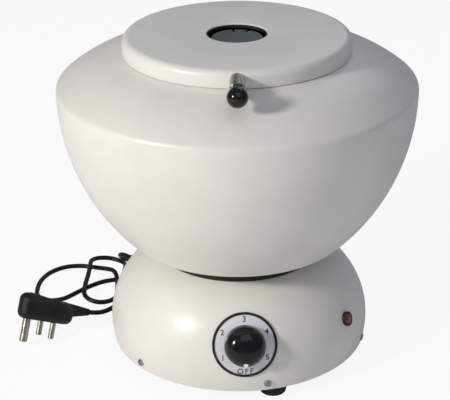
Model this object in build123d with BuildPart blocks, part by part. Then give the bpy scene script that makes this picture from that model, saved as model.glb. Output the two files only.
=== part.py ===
# A small clinical bench centrifuge: a wide painted bowl stands on a domed base, and a flat round
# lid with a viewing port and a ball knob closes it.  Millimetres, +Z up, the front faces -Y.
# The origin is on the floor, on the spin axis.

import os
from math import acos, asin, atan2, cos, degrees, pi, radians, sin, sqrt, tan

from build123d import *

os.makedirs("parts", exist_ok=True)

# Driving dimensions: casing
bowl_radius = 150.0
bowl_floor_z = 108.0
bowl_wall_curve = 180.0
bowl_wall_top_z = 240.5
bowl_heel_fillet = 10.0
bowl_pan_height = 12.0
shoulder_rise = 3.8
shoulder_fillet = 6.0
cone_rise = 28.1
cone_bulge = 5.0
neck_radius = 88.0
shell_wall = 1.6
base_dome_curve = 70.0
base_dome_axis_radius = 42.5
base_top_z = 98.1
base_rim_z = 12.0
base_hole_radius = 22.0

# Driving dimensions: lid, its knob and its hinge
lid_overhang = 6.5
lid_height = 13.9
lid_edge_radius = 6.0
lid_gap = 0.4
neck_gap = 2.554
port_radius = 25.0
port_lip = 2.0
gasket_wall = 1.3
ferrule_radius = 6.0
ferrule_length = 20.5
knob_drop = 7.2
knob_neck_radius = 5.2
knob_neck_length = 11.0
knob_ball_radius = 8.1
hinge_reach = 8.0
hinge_knuckle_radius = 4.0
hinge_pin_radius = 1.5
hinge_half_width = 20.0
hinge_middle_half_width = 8.8
hinge_foot_length = 16.0
hinge_foot_thickness = 3.0
hinge_screw_radius = 1.5

# Driving dimensions: base plate, feet and fasteners
plate_thickness = 1.5
plate_flange_height = 14.0
plate_edge_gap = 0.7
foot_circle_radius = 94.0
foot_azimuth = 17.5
foot_count = 4
foot_top_radius = 12.5
foot_bottom_radius = 10.8
foot_recess_radius = 5.0
foot_recess_depth = 6.0
side_screw_count = 6
side_screw_azimuth = 12.0
side_screw_rise = 7.0
side_screw_radius = 1.6
vent_count = 12
vent_circle_radius = 68.0
vent_length = 18.0
vent_width = 4.0
screw_play = 0.1

# Driving dimensions: speed dial and lamp
dial_azimuth = 2.5
dial_z = 54.0
dial_radius = 26.8
dial_ring_width = 2.0
dial_plate_thickness = 0.8
dial_ring_thickness = 1.4
control_radius = 17.2
control_height = 17.0
control_lift = 1.2
spindle_radius = 3.0
bushing_radius = 5.0
regulator_radius = 22.0
regulator_depth = 20.0
lamp_azimuth = 57.0
lamp_z = 51.0
lamp_radius = 6.2
lamp_body_radius = 4.5
lamp_body_length = 24.0
tag_pitch = 8.0
tag_width = 3.0
tag_thickness = 0.8
tag_length = 7.0

# Driving dimensions: motor
motor_radius = 44.0
motor_wall = 2.0
motor_bottom_z = 20.0
motor_top_z = 87.0
end_cap_thickness = 7.0
shaft_radius = 6.0
journal_radius = 5.0
shaft_bottom_z = 22.0
lower_bearing_radius = 11.0
lower_bearing_height = 7.0
upper_bearing_radius = 15.0
upper_bearing_height = 9.0
stator_bore_radius = 24.5
air_gap = 0.35
stator_bottom_z = 35.0
stator_height = 24.0
stator_slot_depth = 9.0
stator_slot_width = 16.0
winding_height = 5.5
commutator_radius = 12.0
commutator_height = 10.0
brush_width = 6.0
brush_holder_width = 10.0
mount_bolt_circle = 36.0
mount_bolt_count = 4
mount_bolt_radius = 2.5
seal_radius = 16.0
seal_height = 6.5
seal_spigot_radius = 12.0
isolator_radius = 7.5
collar_outer_radius = 69.5
collar_edge_fillet = 1.2
collar_inner_radius = 28.0
running_clearance = 0.04

# Driving dimensions: rotor and swing-out buckets
rotor_azimuth = -9.5
bucket_count = 4
trunnion_z = 235.0
trunnion_circle = 40.0
trunnion_ring_radius = 12.5
trunnion_ring_height = 8.0
trunnion_pin_radius = 2.0
prong_gap = 0.4
prong_width = 4.0
prong_height = 10.0
prong_overhang = 6.0
hub_radius = 22.0
hub_height = 16.0
cup_bore_radius = 8.8
cup_wall = 1.0
cup_length = 100.0
cup_flange_radius = 12.0
cup_flange_thickness = 1.5
rotor_nut_radius = 21.5
rotor_nut_boss_radius = 10.0
rotor_nut_thickness = 6.0
rotor_nut_drop = 3.7
notch_width = 2.4
notch_depth = 7.0
notch_spread = 18.5

# Driving dimensions: mains cord and plug
cord_diameter = 4.4
cord_floor_z = 2.3
cord_straight = 12.0
gland_azimuth = -135.0
gland_flange_radius = 9.0
gland_length = 32.0
plug_thickness = 23.0
live_pin_spacing = 19.05
live_pin_radius = 2.54
live_pin_length = 14.9
earth_pin_offset = 22.2
earth_pin_radius = 3.53
earth_pin_length = 20.6
plug_margin = 6.0
plug_relief_length = 26.0
coil_turn_radius = 25.0
coil_columns = 3
coil_layers = 2
coil_center = (-10.0, 150.0)
gland_tip_radius = 3.4
plug_axis_rise = 11.0
plug_relief_radius = 5.2
relief_tip_radius = 3.0
terminal_block_center = (-45.0, 70.0)
terminal_count = 3
terminal_pitch = 11.0
terminal_gap = 2.0
terminal_block_width = 14.0
terminal_block_height = 13.0
terminal_block_web = 4.0
terminal_bore_radius = 1.6
terminal_screw_radius = 1.8

# Worked-out places shared by several pieces
dome_center_z = base_top_z - base_dome_curve
cone_top_z = bowl_wall_top_z + shoulder_rise + cone_rise
lid_radius = neck_radius + lid_overhang
cord_radius = cord_diameter / 2


def dome_radius_at(height, inset=0.0):
    """Radius of the base dome, inset below its outer surface, at a height."""
    curve = base_dome_curve - inset
    return base_dome_axis_radius + sqrt(curve**2 - (height - dome_center_z) ** 2)


def dome_plane(azimuth, height):
    """Plane on the dome's outer surface, its z outward and its x level, to the right."""
    lean = asin((height - dome_center_z) / base_dome_curve)
    turn = radians(azimuth)
    radius = dome_radius_at(height)
    origin = (radius * sin(turn), -radius * cos(turn), height)
    outward = (cos(lean) * sin(turn), -cos(lean) * cos(turn), sin(lean))
    return Plane(origin=origin, x_dir=(cos(turn), sin(turn), 0), z_dir=outward)


def dome_arc_points(inset):
    """Top, middle and rim points of the dome's arc, inset below its outer surface."""
    curve = base_dome_curve - inset
    rim_angle = asin((base_rim_z - dome_center_z) / curve)
    points = []
    for angle in (pi / 2, (pi / 2 + rim_angle) / 2, rim_angle):
        points.append((base_dome_axis_radius + curve * cos(angle), dome_center_z + curve * sin(angle)))
    return points


def ring(outer, inner, bottom, height):
    """A plain ring about the spin axis, added to the part that is being built."""
    with BuildSketch(Plane.XY.offset(bottom)) as flat_ring:
        Circle(outer)
        Circle(inner, mode=Mode.SUBTRACT)
    extrude(flat_ring.sketch, amount=height)


def save(builder, name):
    builder.part.label = name
    export_step(builder.part, f"parts/{name}.step")


# Base dome as a solid of its outer form, which seats what stands on it
with BuildPart() as dome_form:
    with BuildSketch(Plane.XZ):
        with BuildLine():
            top, middle, rim = dome_arc_points(0)
            Polyline((0, base_rim_z), (0, base_top_z), top)
            ThreePointArc(top, middle, rim)
            Line(rim, (0, base_rim_z))
        make_face()
    revolve(axis=Axis.Z)

dial_plane = dome_plane(dial_azimuth, dial_z)
lamp_plane = dome_plane(lamp_azimuth, lamp_z)
gland_plane = dome_plane(gland_azimuth, dome_center_z)
side_screw_z = base_rim_z + side_screw_rise
side_screw_planes = []
for index in range(side_screw_count):
    side_screw_planes.append(dome_plane(side_screw_azimuth + index * 360 / side_screw_count, side_screw_z))

with BuildPart() as base_shell:
    with BuildSketch(Plane.XZ):
        with BuildLine():
            top, middle, rim = dome_arc_points(0)
            inner_top, inner_middle, inner_rim = dome_arc_points(shell_wall)
            Polyline(inner_top, (base_hole_radius, base_top_z - shell_wall), (base_hole_radius, base_top_z), top)
            ThreePointArc(top, middle, rim)
            Line(rim, inner_rim)
            ThreePointArc(inner_rim, inner_middle, inner_top)
        make_face()
    revolve(axis=Axis.Z)
    with BuildSketch(dial_plane):
        Circle(bushing_radius + screw_play)
    extrude(amount=3 * shell_wall, both=True, mode=Mode.SUBTRACT)
    with BuildSketch(lamp_plane):
        Circle(lamp_body_radius + screw_play)
    extrude(amount=3 * shell_wall, both=True, mode=Mode.SUBTRACT)
    with BuildSketch(gland_plane):
        Circle(gland_flange_radius - 3)
    extrude(amount=3 * shell_wall, both=True, mode=Mode.SUBTRACT)
    for screw_plane in side_screw_planes:
        with BuildSketch(screw_plane):
            Circle(side_screw_radius + screw_play)
        extrude(amount=3 * shell_wall, both=True, mode=Mode.SUBTRACT)
    with BuildSketch(Plane.XY.offset(base_top_z)):
        with PolarLocations(mount_bolt_circle, mount_bolt_count, start_angle=45):
            Circle(mount_bolt_radius + screw_play)
    extrude(amount=-3 * shell_wall, mode=Mode.SUBTRACT)
save(base_shell, "base_shell")

# Base plate with a turned-up flange that the side screws grip
plate_radius = dome_radius_at(base_rim_z, shell_wall) - plate_edge_gap
with BuildPart() as base_plate:
    with BuildSketch(Plane.XY.offset(base_rim_z)):
        Circle(plate_radius)
        with PolarLocations(foot_circle_radius, foot_count, start_angle=foot_azimuth - 90):
            Circle(2 + screw_play, mode=Mode.SUBTRACT)
        with PolarLocations(vent_circle_radius, vent_count):
            SlotOverall(vent_length, vent_width, mode=Mode.SUBTRACT)
    extrude(amount=plate_thickness)
    ring(plate_radius, plate_radius - plate_thickness, base_rim_z + plate_thickness, plate_flange_height)
    for screw_plane in side_screw_planes:
        with BuildSketch(screw_plane):
            Circle(side_screw_radius)
        extrude(amount=-4 * shell_wall - plate_thickness, mode=Mode.SUBTRACT)
    with BuildSketch(gland_plane):
        Circle(gland_flange_radius + 1)
    extrude(amount=-8 * shell_wall, mode=Mode.SUBTRACT)
save(base_plate, "base_plate")

with BuildPart() as side_screws:
    for screw_plane in side_screw_planes:
        with BuildSketch(screw_plane.offset(-4 * shell_wall)):
            Circle(side_screw_radius)
        extrude(amount=4 * shell_wall)
        with BuildSketch(screw_plane.offset(-0.1)):
            Circle(2 * side_screw_radius)
        extrude(amount=1.5, taper=12)
        with BuildSketch(screw_plane.offset(0.6)):
            Rectangle(0.8, 5 * side_screw_radius)
        extrude(amount=2, mode=Mode.SUBTRACT)
    add(base_shell.part, mode=Mode.SUBTRACT)
save(side_screws, "side_screws")

# Rubber feet, each with a recessed screw and a nut on the plate
foot_places = PolarLocations(foot_circle_radius, foot_count, start_angle=foot_azimuth - 90)
with BuildPart() as rubber_feet:
    foot_taper = degrees(atan2(foot_top_radius - foot_bottom_radius, base_rim_z))
    with BuildSketch(Plane.XY):
        with foot_places:
            Circle(foot_bottom_radius)
    extrude(amount=base_rim_z, taper=-foot_taper)
    fillet(rubber_feet.edges().group_by(Axis.Z)[0], 2)
    with BuildSketch(Plane.XY):
        with foot_places:
            Circle(foot_recess_radius)
    extrude(amount=foot_recess_depth, mode=Mode.SUBTRACT)
    with BuildSketch(Plane.XY):
        with foot_places:
            Circle(2 + screw_play)
    extrude(amount=base_rim_z, mode=Mode.SUBTRACT)
save(rubber_feet, "rubber_feet")

with BuildPart() as foot_screws:
    nut_z = base_rim_z + plate_thickness
    with BuildSketch(Plane.XY.offset(foot_recess_depth)):
        with foot_places:
            Circle(4)
    extrude(amount=-2.6)
    with BuildSketch(Plane.XY.offset(foot_recess_depth)):
        with foot_places:
            Circle(2)
    extrude(amount=nut_z + 4.5 - foot_recess_depth)
    with BuildSketch(Plane.XY.offset(nut_z)):
        with foot_places:
            RegularPolygon(4, 6)
    extrude(amount=3.2)
save(foot_screws, "foot_screws")

# Dial plate and its bezel follow the dome, so both are cut from bands that lie on it
with BuildPart() as dial_band:
    with BuildSketch(Plane.XZ):
        with BuildLine():
            top, middle, rim = dome_arc_points(0)
            outer_top, outer_middle, outer_rim = dome_arc_points(-dial_plate_thickness)
            ThreePointArc(top, middle, rim)
            Line(rim, outer_rim)
            ThreePointArc(outer_rim, outer_middle, outer_top)
            Line(outer_top, top)
        make_face()
    revolve(axis=Axis.Z)
with BuildPart() as bezel_band:
    with BuildSketch(Plane.XZ):
        with BuildLine():
            top, middle, rim = dome_arc_points(0)
            outer_top, outer_middle, outer_rim = dome_arc_points(-dial_ring_thickness)
            ThreePointArc(top, middle, rim)
            Line(rim, outer_rim)
            ThreePointArc(outer_rim, outer_middle, outer_top)
            Line(outer_top, top)
        make_face()
    revolve(axis=Axis.Z)

dial_reach = 4 * dial_ring_thickness
with BuildPart() as dial_plate:
    with BuildSketch(dial_plane.offset(-2 * dial_reach)):
        Circle(dial_radius - dial_ring_width)
        Circle(bushing_radius + screw_play, mode=Mode.SUBTRACT)
    extrude(amount=3 * dial_reach)
    add(dial_band.part, mode=Mode.INTERSECT)
save(dial_plate, "dial_plate")

with BuildPart() as dial_ring:
    with BuildSketch(dial_plane.offset(-2 * dial_reach)):
        Circle(dial_radius)
        Circle(dial_radius - dial_ring_width, mode=Mode.SUBTRACT)
    extrude(amount=3 * dial_reach)
    add(bezel_band.part, mode=Mode.INTERSECT)
save(dial_ring, "dial_ring")

# Speed regulator behind the dome, held by a nut on its threaded bushing
regulator_face = -shell_wall - 5.5
bushing_end = dial_plate_thickness + 4.2
with BuildPart() as regulator_housing:
    with BuildSketch(dial_plane.offset(regulator_face)):
        Circle(regulator_radius)
    extrude(amount=-regulator_depth)
    fillet(regulator_housing.edges().filter_by(GeomType.CIRCLE), 1.5)
    with BuildSketch(dial_plane.offset(regulator_face)):
        Circle(bushing_radius + 2.5)
    extrude(amount=-regulator_face - shell_wall)
    with BuildSketch(dial_plane.offset(regulator_face)):
        Circle(bushing_radius)
    extrude(amount=bushing_end - regulator_face)
    with BuildSketch(dial_plane.offset(bushing_end)):
        Circle(spindle_radius + running_clearance)
    extrude(amount=-(bushing_end - regulator_face + regulator_depth - 3), mode=Mode.SUBTRACT)
    with BuildSketch(dial_plane.offset(regulator_face - regulator_depth)):
        with Locations((-tag_pitch, 0.75 * tag_pitch), (0, 1.25 * tag_pitch), (tag_pitch, 0.75 * tag_pitch)):
            Rectangle(tag_width, tag_thickness)
    extrude(amount=-tag_length)
    add(base_shell.part, mode=Mode.SUBTRACT)
save(regulator_housing, "regulator_housing")

with BuildPart() as regulator_nut:
    with BuildSketch(dial_plane.offset(dial_plate_thickness)):
        RegularPolygon(bushing_radius + 3.2, 6)
        Circle(bushing_radius, mode=Mode.SUBTRACT)
    extrude(amount=2.6)
save(regulator_nut, "regulator_nut")

control_bottom = dial_plate_thickness + control_lift
spindle_back = regulator_face - regulator_depth + 3.3
with BuildPart() as regulator_spindle:
    with BuildSketch(dial_plane.offset(spindle_back)):
        Circle(spindle_radius)
    extrude(amount=control_bottom + control_height - 4 - spindle_back)
save(regulator_spindle, "regulator_spindle")

# Control knob: a low skirt under a domed cap, hollow where it covers the nut
with BuildPart() as control_knob:
    with BuildSketch(dial_plane.offset(control_bottom)):
        Circle(control_radius)
    extrude(amount=control_height, taper=3)
    knob_top = control_knob.faces().sort_by(Axis(dial_plane.origin, dial_plane.z_dir))[-1]
    fillet(knob_top.edges(), control_height * 0.5)
    with BuildSketch(dial_plane.offset(control_bottom)):
        Circle(bushing_radius + 4.5)
    extrude(amount=bushing_end - control_bottom + 0.6, mode=Mode.SUBTRACT)
    with BuildSketch(dial_plane.offset(control_bottom)):
        Circle(spindle_radius)
    extrude(amount=control_height - 4, mode=Mode.SUBTRACT)
    with BuildSketch(dial_plane.offset(control_bottom)):
        with Locations((0, 3.2 - control_radius)):
            Circle(2)
    extrude(amount=control_height, mode=Mode.SUBTRACT)
save(control_knob, "control_knob")

with BuildPart() as knob_pointer:
    with BuildSketch(dial_plane.offset(control_bottom)):
        with Locations((0, 3.2 - control_radius)):
            Circle(2)
    extrude(amount=control_height * 0.78)
    fillet(knob_pointer.edges().sort_by(Axis(dial_plane.origin, dial_plane.z_dir))[-1], 0.8)
save(knob_pointer, "knob_pointer")

# Mains lamp: a holder behind the dome, a domed lens and a bezel that seats on the dome
with BuildPart() as lamp_bezel:
    with BuildSketch(lamp_plane.offset(-1)):
        Circle(lamp_radius)
        Circle(lamp_body_radius, mode=Mode.SUBTRACT)
    extrude(amount=3)
    fillet(lamp_bezel.edges().sort_by(Axis(lamp_plane.origin, lamp_plane.z_dir))[-1], 0.7)
    add(dome_form.part, mode=Mode.SUBTRACT)
save(lamp_bezel, "lamp_bezel")

with BuildPart() as lamp_lens:
    with BuildSketch(lamp_plane.offset(-2)):
        Circle(lamp_body_radius)
    extrude(amount=5.2)
    fillet(lamp_lens.edges().sort_by(Axis(lamp_plane.origin, lamp_plane.z_dir))[-1], 2.4)
save(lamp_lens, "lamp_lens")

with BuildPart() as lamp_holder:
    with BuildSketch(lamp_plane.offset(-2)):
        Circle(lamp_body_radius)
    extrude(amount=2 - lamp_body_length)
    with BuildSketch(lamp_plane.offset(-shell_wall - 0.4)):
        Circle(lamp_body_radius + 2.6)
        Circle(lamp_body_radius, mode=Mode.SUBTRACT)
    extrude(amount=-2.5)
    with BuildSketch(lamp_plane.offset(-lamp_body_length)):
        with Locations((-tag_pitch / 4, 0), (tag_pitch / 4, 0)):
            Rectangle(tag_thickness, tag_width)
    extrude(amount=-6)
save(lamp_holder, "lamp_holder")

# Bowl and its sloping top: outline from the flat floor up the bulging wall, over the shoulder to the neck
heel_angle = asin((bowl_wall_top_z - bowl_floor_z) / bowl_wall_curve)
wall_axis_radius = bowl_radius - bowl_wall_curve
heel_radius = wall_axis_radius + bowl_wall_curve * cos(heel_angle)
wall_middle = (
    wall_axis_radius + bowl_wall_curve * cos(heel_angle / 2),
    bowl_wall_top_z - bowl_wall_curve * sin(heel_angle / 2),
)
shoulder_z = bowl_wall_top_z + shoulder_rise
cone_chord = Vector(neck_radius - bowl_radius, cone_top_z - shoulder_z)
cone_normal = Vector(cone_chord.Y, -cone_chord.X) * (1 / cone_chord.length)
cone_middle = Vector(bowl_radius, shoulder_z) + cone_chord * 0.5 + cone_normal * cone_bulge
cone_curve = (cone_chord.length**2 / 4 + cone_bulge**2) / (2 * cone_bulge)
cone_center = cone_middle - cone_normal * cone_curve


def cone_z(radius):
    """Height of the bowl's sloping top at a radius."""
    return cone_center.Y + sqrt(cone_curve**2 - (radius - cone_center.X) ** 2)


def cone_lean(radius):
    """Angle in degrees by which the bowl's sloping top falls outwards at a radius."""
    return degrees(asin((radius - cone_center.X) / cone_curve))


lid_bottom_z = cone_z(lid_radius - shell_wall) + lid_gap
lid_top_z = lid_bottom_z + lid_height
lid_under_z = lid_top_z - shell_wall
neck_top_z = lid_under_z - neck_gap

hinge_y = lid_radius + hinge_reach
base_screw_y = hinge_y + hinge_knuckle_radius + hinge_foot_length * 0.55
base_screw_x = (hinge_half_width + hinge_middle_half_width) / 2
base_screw_planes = []
for side in (-1, 1):
    lean = radians(cone_lean(base_screw_y))
    seat = (side * base_screw_x, base_screw_y, cone_z(base_screw_y))
    base_screw_planes.append(Plane(origin=seat, x_dir=(1, 0, 0), z_dir=(0, sin(lean), cos(lean))))

with BuildPart() as bowl_form:
    with BuildSketch(Plane.XZ) as bowl_face:
        with BuildLine():
            Line((0, bowl_floor_z), (heel_radius, bowl_floor_z))
            ThreePointArc((heel_radius, bowl_floor_z), wall_middle, (bowl_radius, bowl_wall_top_z))
            Line((bowl_radius, bowl_wall_top_z), (bowl_radius, shoulder_z))
            ThreePointArc((bowl_radius, shoulder_z), (cone_middle.X, cone_middle.Y), (neck_radius, cone_top_z))
            Polyline((neck_radius, cone_top_z), (neck_radius, neck_top_z), (0, neck_top_z), (0, bowl_floor_z))
        make_face()
        fillet(bowl_face.vertices().sort_by_distance((heel_radius, bowl_floor_z))[0], bowl_heel_fillet)
        fillet(bowl_face.vertices().sort_by_distance((bowl_radius, shoulder_z))[0], shoulder_fillet)
        fillet(bowl_face.vertices().sort_by_distance((neck_radius, cone_top_z))[0], 1.5)
    revolve(axis=Axis.Z)

with BuildSketch(Plane.XZ) as bowl_hollow:
    add(bowl_face.sketch_local)
    offset(amount=-shell_wall, mode=Mode.REPLACE)
    with Locations((0, cone_top_z - shell_wall)):
        Rectangle(neck_radius - shell_wall, neck_top_z - cone_top_z + 2 * shell_wall, align=(Align.MIN, Align.MIN))
    with Locations((0, bowl_floor_z - shell_wall)):
        Rectangle(seal_spigot_radius, neck_top_z - bowl_floor_z, align=(Align.MIN, Align.MIN))

pan_top_z = bowl_floor_z + bowl_pan_height
with BuildPart() as bowl_pan:
    with BuildSketch(Plane.XZ):
        add(bowl_face.sketch_local)
        add(bowl_hollow.sketch_local, mode=Mode.SUBTRACT)
        with Locations((0, pan_top_z)):
            Rectangle(2 * bowl_radius, neck_top_z, align=(Align.MIN, Align.MIN), mode=Mode.SUBTRACT)
    revolve(axis=Axis.Z)
    with BuildSketch(Plane.XY.offset(bowl_floor_z)):
        with PolarLocations(mount_bolt_circle, mount_bolt_count, start_angle=45):
            Circle(mount_bolt_radius + screw_play)
    extrude(amount=2 * shell_wall, mode=Mode.SUBTRACT)
save(bowl_pan, "bowl_pan")

with BuildPart() as bowl_shell:
    with BuildSketch(Plane.XZ):
        add(bowl_face.sketch_local)
        add(bowl_hollow.sketch_local, mode=Mode.SUBTRACT)
        with Locations((0, bowl_wall_top_z)):
            Rectangle(2 * bowl_radius, neck_top_z, align=(Align.MIN, Align.MIN), mode=Mode.SUBTRACT)
        with Locations((0, pan_top_z)):
            Rectangle(2 * bowl_radius, pan_top_z, align=(Align.MIN, Align.MAX), mode=Mode.SUBTRACT)
    revolve(axis=Axis.Z)
save(bowl_shell, "bowl_shell")

with BuildPart() as bowl_top:
    with BuildSketch(Plane.XZ):
        add(bowl_face.sketch_local)
        add(bowl_hollow.sketch_local, mode=Mode.SUBTRACT)
        with Locations((0, bowl_wall_top_z)):
            Rectangle(2 * bowl_radius, bowl_wall_top_z, align=(Align.MIN, Align.MAX), mode=Mode.SUBTRACT)
    revolve(axis=Axis.Z)
save(bowl_top, "bowl_top")

# Soft trim that sits astride the rim of the neck
with BuildPart() as opening_gasket:
    gasket_foot_z = cone_top_z + 0.55 * (neck_top_z - cone_top_z)
    with BuildSketch(Plane.XZ):
        with BuildLine():
            outer = neck_radius + gasket_wall
            inner = neck_radius - shell_wall - gasket_wall
            Polyline(
                (neck_radius, neck_top_z),
                (neck_radius, gasket_foot_z),
                (outer, gasket_foot_z),
                (outer, lid_under_z - lid_gap),
                (inner, lid_under_z - lid_gap),
                (inner, gasket_foot_z),
                (neck_radius - shell_wall, gasket_foot_z),
                (neck_radius - shell_wall, neck_top_z),
                close=True,
            )
        make_face()
    revolve(axis=Axis.Z)
    fillet(opening_gasket.edges().filter_by(GeomType.CIRCLE).group_by(Axis.Z)[-1], 0.6)
save(opening_gasket, "opening_gasket")

# Lid: a shallow inverted pan with a soft edge and a lipped port over the spin axis
with BuildPart() as lid_form:
    with BuildSketch(Plane.XZ) as lid_face:
        with BuildLine():
            Polyline((0, lid_bottom_z), (lid_radius, lid_bottom_z), (lid_radius, lid_top_z), (0, lid_top_z), close=True)
        make_face()
        fillet(lid_face.vertices().sort_by_distance((lid_radius, lid_top_z))[0], lid_edge_radius)
    revolve(axis=Axis.Z)

knob_z = lid_top_z - knob_drop
knob_plane = Plane(origin=(0, 0, knob_z), x_dir=(1, 0, 0), z_dir=(0, -1, 0))
hinge_z = lid_bottom_z + hinge_knuckle_radius
hinge_plane = Plane(origin=(0, hinge_y, hinge_z), x_dir=(0, 1, 0), z_dir=(1, 0, 0))
lid_screw_places = Locations((-hinge_middle_half_width / 2, 0), (hinge_middle_half_width / 2, 0))
lid_screw_plane = Plane(origin=(0, 0, hinge_z), x_dir=(-1, 0, 0), z_dir=(0, 1, 0))

with BuildPart() as lid_shell:
    add(lid_form.part)
    with BuildSketch(Plane.XZ):
        add(lid_face.sketch_local)
        offset(amount=-shell_wall, mode=Mode.REPLACE)
    revolve(axis=Axis.Z, mode=Mode.SUBTRACT)
    with BuildSketch(Plane.XY.offset(lid_bottom_z)):
        Circle(lid_radius - shell_wall)
    extrude(amount=lid_height - lid_edge_radius - shell_wall, mode=Mode.SUBTRACT)
    ring(port_radius + shell_wall, port_radius, lid_under_z - port_lip, port_lip)
    with BuildSketch(Plane.XY.offset(lid_top_z)):
        Circle(port_radius)
    extrude(amount=-lid_height, mode=Mode.SUBTRACT)
    port_edges = lid_shell.edges().filter_by(GeomType.CIRCLE).sort_by_distance((port_radius, 0, lid_top_z))
    fillet(port_edges[0], 0.7)
    with BuildSketch(knob_plane.offset(lid_radius - 3 * shell_wall)):
        Circle(2.1)
    extrude(amount=4 * shell_wall, mode=Mode.SUBTRACT)
    with BuildSketch(lid_screw_plane.offset(lid_radius - 3 * shell_wall)):
        with lid_screw_places:
            Circle(hinge_screw_radius)
    extrude(amount=4 * shell_wall, mode=Mode.SUBTRACT)
save(lid_shell, "lid_shell")

# Lid knob: a plated ferrule on the lid's edge with a black ball knob screwed on to it
ferrule_end = lid_radius + ferrule_length
with BuildPart() as knob_ferrule:
    with BuildSketch(knob_plane.offset(lid_radius - 0.6)):
        Circle(ferrule_radius)
    extrude(amount=ferrule_length + 0.6)
    fillet(knob_ferrule.edges().sort_by(Axis.Y)[0], 0.8)
    add(lid_form.part, mode=Mode.SUBTRACT)
    with BuildSketch(knob_plane.offset(lid_radius - 2 * shell_wall)):
        Circle(2)
    extrude(amount=4 * shell_wall)
    with BuildSketch(knob_plane.offset(lid_radius - 2 * shell_wall - 0.05)):
        Circle(3)
    extrude(amount=1.2)
save(knob_ferrule, "knob_ferrule")

ball_center = knob_neck_length + 0.6 * knob_ball_radius
ball_start = ball_center - sqrt(knob_ball_radius**2 - knob_neck_radius**2)
with BuildPart() as lid_knob:
    with BuildSketch(Plane(origin=(0, -ferrule_end, knob_z), x_dir=(0, -1, 0), z_dir=(1, 0, 0))) as knob_face:
        with BuildLine():
            Polyline((0, 0), (0, knob_neck_radius), (ball_start, knob_neck_radius))
            ThreePointArc(
                (ball_start, knob_neck_radius), (ball_center, knob_ball_radius), (ball_center + knob_ball_radius, 0)
            )
            Line((ball_center + knob_ball_radius, 0), (0, 0))
        make_face()
        fillet(knob_face.vertices().sort_by_distance((ball_start, knob_neck_radius))[0], 1.5)
        fillet(knob_face.vertices().sort_by_distance((0, knob_neck_radius))[0], 0.6)
    revolve(axis=Axis((0, 0, knob_z), (0, 1, 0)))
save(lid_knob, "lid_knob")

# Rear hinge: a saddle bracket on the bowl, a block on the lid and the pin through both
with BuildPart() as hinge_base_leaf:
    with BuildSketch(hinge_plane.offset(-hinge_half_width)):
        Circle(hinge_knuckle_radius)
        with BuildLine():
            foot_start = hinge_knuckle_radius * 0.3
            foot_end = hinge_knuckle_radius + hinge_foot_length
            foot_drop = hinge_z - cone_z(hinge_y + foot_end)
            Polyline(
                (-foot_start, 0),
                (hinge_knuckle_radius, 0),
                (hinge_knuckle_radius + 2, hinge_foot_thickness - hinge_z + cone_z(hinge_y + hinge_knuckle_radius)),
                (foot_end, hinge_foot_thickness - foot_drop),
                (foot_end, -foot_drop - 3),
                (-foot_start, -foot_drop - 3),
                close=True,
            )
        make_face()
        Circle(hinge_pin_radius, mode=Mode.SUBTRACT)
    extrude(amount=2 * hinge_half_width)
    with BuildSketch(Plane.XY.offset(cone_z(hinge_y) + 0.6)):
        with Locations((0, hinge_y)):
            Rectangle(2 * hinge_middle_half_width + 0.8, 2 * hinge_knuckle_radius + 1.4)
    extrude(amount=3 * hinge_knuckle_radius, mode=Mode.SUBTRACT)
    add(bowl_form.part, mode=Mode.SUBTRACT)
    for screw_plane in base_screw_planes:
        with BuildSketch(screw_plane):
            Circle(hinge_screw_radius)
        extrude(amount=3 * hinge_foot_thickness, both=True, mode=Mode.SUBTRACT)
save(hinge_base_leaf, "hinge_base_leaf")

with BuildPart() as hinge_lid_leaf:
    with BuildSketch(hinge_plane.offset(-hinge_middle_half_width)):
        Circle(hinge_knuckle_radius)
        with Locations((-hinge_reach / 2 - 1, 0)):
            Rectangle(hinge_reach + 2, 2 * hinge_knuckle_radius - 2)
        Circle(hinge_pin_radius, mode=Mode.SUBTRACT)
    extrude(amount=2 * hinge_middle_half_width)
    add(lid_form.part, mode=Mode.SUBTRACT)
    with BuildSketch(lid_screw_plane.offset(lid_radius - 2)):
        with lid_screw_places:
            Circle(hinge_screw_radius)
    extrude(amount=5.5, mode=Mode.SUBTRACT)
save(hinge_lid_leaf, "hinge_lid_leaf")

with BuildPart() as hinge_lid_screws:
    with BuildSketch(lid_screw_plane.offset(lid_radius - 2 * shell_wall - 1)):
        with lid_screw_places:
            Circle(hinge_screw_radius)
    extrude(amount=2 * shell_wall + 4.4)
    with BuildSketch(lid_screw_plane.offset(lid_radius - shell_wall - 2)):
        with lid_screw_places:
            Circle(hinge_screw_radius + 1.2)
    extrude(amount=1.4)
save(hinge_lid_screws, "hinge_lid_screws")

with BuildPart() as hinge_pin:
    with BuildSketch(hinge_plane.offset(-hinge_half_width - 1)):
        Circle(hinge_pin_radius - running_clearance)
    extrude(amount=2 * hinge_half_width + 2)
    with BuildSketch(hinge_plane.offset(hinge_half_width)):
        Circle(hinge_pin_radius + 1)
    extrude(amount=1.2)
    with BuildSketch(hinge_plane.offset(-hinge_half_width)):
        Circle(hinge_pin_radius + 1)
    extrude(amount=-1.2)
save(hinge_pin, "hinge_pin")

with BuildPart() as hinge_base_screws:
    for screw_plane in base_screw_planes:
        with BuildSketch(screw_plane.offset(-hinge_screw_radius)):
            Circle(hinge_screw_radius)
        extrude(amount=hinge_screw_radius + hinge_foot_thickness + 1)
        with BuildSketch(screw_plane.offset(hinge_foot_thickness)):
            Circle(hinge_screw_radius + 1.2)
        extrude(amount=1.6, taper=15)
        with BuildSketch(screw_plane.offset(hinge_foot_thickness + 0.9)):
            Rectangle(0.8, 4 * hinge_screw_radius)
        extrude(amount=2, mode=Mode.SUBTRACT)
    add(hinge_base_leaf.part, mode=Mode.SUBTRACT)
    add(bowl_form.part, mode=Mode.SUBTRACT)
save(hinge_base_screws, "hinge_base_screws")

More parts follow.
